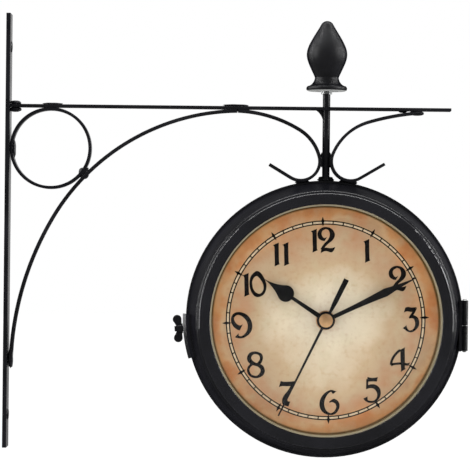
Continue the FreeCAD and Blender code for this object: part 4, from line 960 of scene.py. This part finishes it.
# The floor's half width in metres, the strength with which the camera sees it white, and how much of what the
# camera sees is that white. The rest is the matt floor, which takes the clock's shadow.
FLOOR_REACH, WHITE_STRENGTH, WHITE_SHARE = 40.0, 1.05, 0.95
# A direction's part along Y where the backdrop starts and where it is full, and its part along Z where the
# dark below starts to fade and where it has gone.
BACKDROP_EDGE = (-0.1, 0.5)
BELOW_EDGE = (-0.15, 0.1)
# Each softbox's name, its place and size in metres, and its power as one of the stage's values and a share of
# it.
LAMPS = (
    ("strip_left", (-1.5, -0.6, 0.5), (0.14, 1.6), "strip", 1.0),
    ("strip_right", (1.95, -0.6, 0.5), (0.14, 1.6), "strip", 1.0),
    ("strip_rear_left", (-1.5, 0.6, 0.5), (0.14, 1.6), "strip", 0.8),
    ("strip_rear_right", (1.95, 0.6, 0.5), (0.14, 1.6), "strip", 0.8),
    ("top", (0.23, 0.0, 1.6), (2.6, 0.2), "top", 1.0),
)


class STATIONCLOCK_OT_stage(bpy.types.Operator):
    """Set the floor, the soft lights and the camera"""

    bl_idname = "stationclock.stage"
    bl_label = "Stage"

    def execute(self, context):
        scene, stage = context.scene, context.scene.station_clock_stage
        self.lay_floor(scene, stage)
        self.light_room(scene, stage)
        self.hang_lamps(scene, stage)
        self.place_camera(scene, stage)
        scene.view_settings.view_transform = "Standard"
        return {"FINISHED"}

    def lay_floor(self, scene, stage):
        """A level square under the object. The camera sees it nearly white, with the object's soft shadow,
        and gloss doesn't see it."""
        mesh = bpy.data.meshes.new("floor")
        corners = ((-1, -1), (1, -1), (1, 1), (-1, 1))
        mesh.from_pydata(
            [(FLOOR_REACH * x, FLOOR_REACH * y, -stage.floor_drop) for x, y in corners], [], [(0, 1, 2, 3)]
        )
        material, tree = new_material("pale_floor")
        matt = add_node(tree, "ShaderNodeBsdfDiffuse", {"Color": (*stage.floor, 1)})
        white = add_node(tree, "ShaderNodeEmission", {"Color": (1, 1, 1, 1), "Strength": WHITE_STRENGTH})
        path = add_node(tree, "ShaderNodeLightPath")
        share = add_node(
            tree, "ShaderNodeMath", {0: path.outputs["Is Camera Ray"], 1: WHITE_SHARE}, operation="MULTIPLY"
        )
        mixed = add_node(tree, "ShaderNodeMixShader", {
            0: share.outputs[0], 1: matt.outputs[0], 2: white.outputs[0],
        })
        add_node(tree, "ShaderNodeOutputMaterial", {"Surface": mixed.outputs[0]})
        mesh.materials.append(material)
        floor = bpy.data.objects.new("floor", mesh)
        floor.visible_glossy = False
        scene.collection.objects.link(floor)

    def light_room(self, scene, stage):
        """The camera sees plain white. Gloss and glass see a room that is dark before the front dial and
        below, with a pale backdrop behind the rear one, and all other light comes evenly from everywhere."""
        world = bpy.data.worlds.new("room")
        world.use_nodes = True
        tree = world.node_tree
        tree.nodes.clear()
        path = add_node(tree, "ShaderNodeLightPath")
        way = add_node(tree, "ShaderNodeTexCoord").outputs["Generated"]
        part = add_node(tree, "ShaderNodeSeparateXYZ", {0: way}).outputs
        backdrop = add_node(tree, "ShaderNodeMapRange", {
            0: part["Y"], 1: BACKDROP_EDGE[0], 2: BACKDROP_EDGE[1], 3: 0.0, 4: stage.bright_side,
        })
        above = add_node(tree, "ShaderNodeMapRange", {
            0: part["Z"], 1: BELOW_EDGE[0], 2: BELOW_EDGE[1], 3: stage.dark_side, 4: backdrop.outputs[0],
        })
        room = add_node(
            tree, "ShaderNodeMath", {0: above.outputs[0], 1: stage.dark_side}, operation="MAXIMUM"
        )
        mirrored = add_node(
            tree, "ShaderNodeMath",
            {0: path.outputs["Is Glossy Ray"], 1: path.outputs["Is Transmission Ray"]}, operation="MAXIMUM",
        )
        unseen = add_node(
            tree, "ShaderNodeMapRange", {0: mirrored.outputs[0], 3: stage.sky, 4: room.outputs[0]}
        )
        strength = add_node(
            tree, "ShaderNodeMapRange", {0: path.outputs["Is Camera Ray"], 3: unseen.outputs[0], 4: 1.0}
        )
        light = add_node(tree, "ShaderNodeBackground", {
            "Color": (1, 1, 1, 1), "Strength": strength.outputs[0],
        })
        add_node(tree, "ShaderNodeOutputWorld", {"Surface": light.outputs[0]})
        scene.world = world

    def hang_lamps(self, scene, stage):
        """Tall softboxes left and right of both dials and a long one overhead, each turned to the head. They
        stand nearly beside it, so their gloss is a thin line along each rounded edge."""
        for name, place, size, power, share in LAMPS:
            lamp = bpy.data.lights.new(name, "AREA")
            lamp.shape = "RECTANGLE"
            lamp.size, lamp.size_y = size
            lamp.energy = share * getattr(stage, power)
            holder = bpy.data.objects.new(name, lamp)
            holder.location = place
            aim = PRINT_LOW.lerp(PRINT_HIGH, 0.5) - holder.location
            holder.rotation_euler = aim.to_track_quat("-Z", "Y").to_euler()
            holder.visible_camera = False
            scene.collection.objects.link(holder)

    def place_camera(self, scene, stage):
        """A long lens in front of the clock, level and turned a little about its own axis."""
        lens = bpy.data.cameras.new("camera")
        lens.sensor_width = 36.0
        lens.lens = stage.lens
        lens.clip_end = 200.0
        camera = bpy.data.objects.new("camera", lens)
        camera.location = (stage.eye_x, -stage.eye_distance, -stage.eye_drop)
        camera.rotation_euler = (math.pi / 2, -stage.roll, 0.0)
        scene.collection.objects.link(camera)
        scene.camera = camera


OPERATORS = (
    STATIONCLOCK_OT_bracket, STATIONCLOCK_OT_welds, STATIONCLOCK_OT_finial, STATIONCLOCK_OT_case,
    STATIONCLOCK_OT_glazing, STATIONCLOCK_OT_dials, STATIONCLOCK_OT_minute_track, STATIONCLOCK_OT_numerals,
    STATIONCLOCK_OT_hands, STATIONCLOCK_OT_movements, STATIONCLOCK_OT_stage,
)


class STATIONCLOCK_PT_build(bpy.types.Panel):
    """The clock's pieces, in the order they are built"""

    bl_label = "Station Clock"
    bl_idname = "STATIONCLOCK_PT_build"
    bl_space_type = "VIEW_3D"
    bl_region_type = "UI"
    bl_category = "Station Clock"

    def draw(self, context):
        for operator in OPERATORS:
            self.layout.operator(operator.bl_idname)
        for group, _ in GROUPS:
            box, values = self.layout.box(), getattr(context.scene, group)
            for name in values.bl_rna.properties.keys():
                if name not in ("rna_type", "name"):
                    box.prop(values, name)


GROUPS = (
    ("station_clock_paint", StationClockPaint),
    ("station_clock_dial", StationClockDial),
    ("station_clock_stage", StationClockStage),
)
CLASSES = (*(group for _, group in GROUPS), *OPERATORS, STATIONCLOCK_PT_build)


def register():
    for cls in CLASSES:
        bpy.utils.register_class(cls)
    for name, group in GROUPS:
        setattr(bpy.types.Scene, name, bpy.props.PointerProperty(type=group))


def unregister():
    for name, _ in GROUPS:
        delattr(bpy.types.Scene, name)
    for cls in reversed(CLASSES):
        bpy.utils.unregister_class(cls)


def main():
    register()
    for operator in OPERATORS:
        group, name = operator.bl_idname.split(".")
        getattr(getattr(bpy.ops, group), name)()


if __name__ == "__main__":
    main()
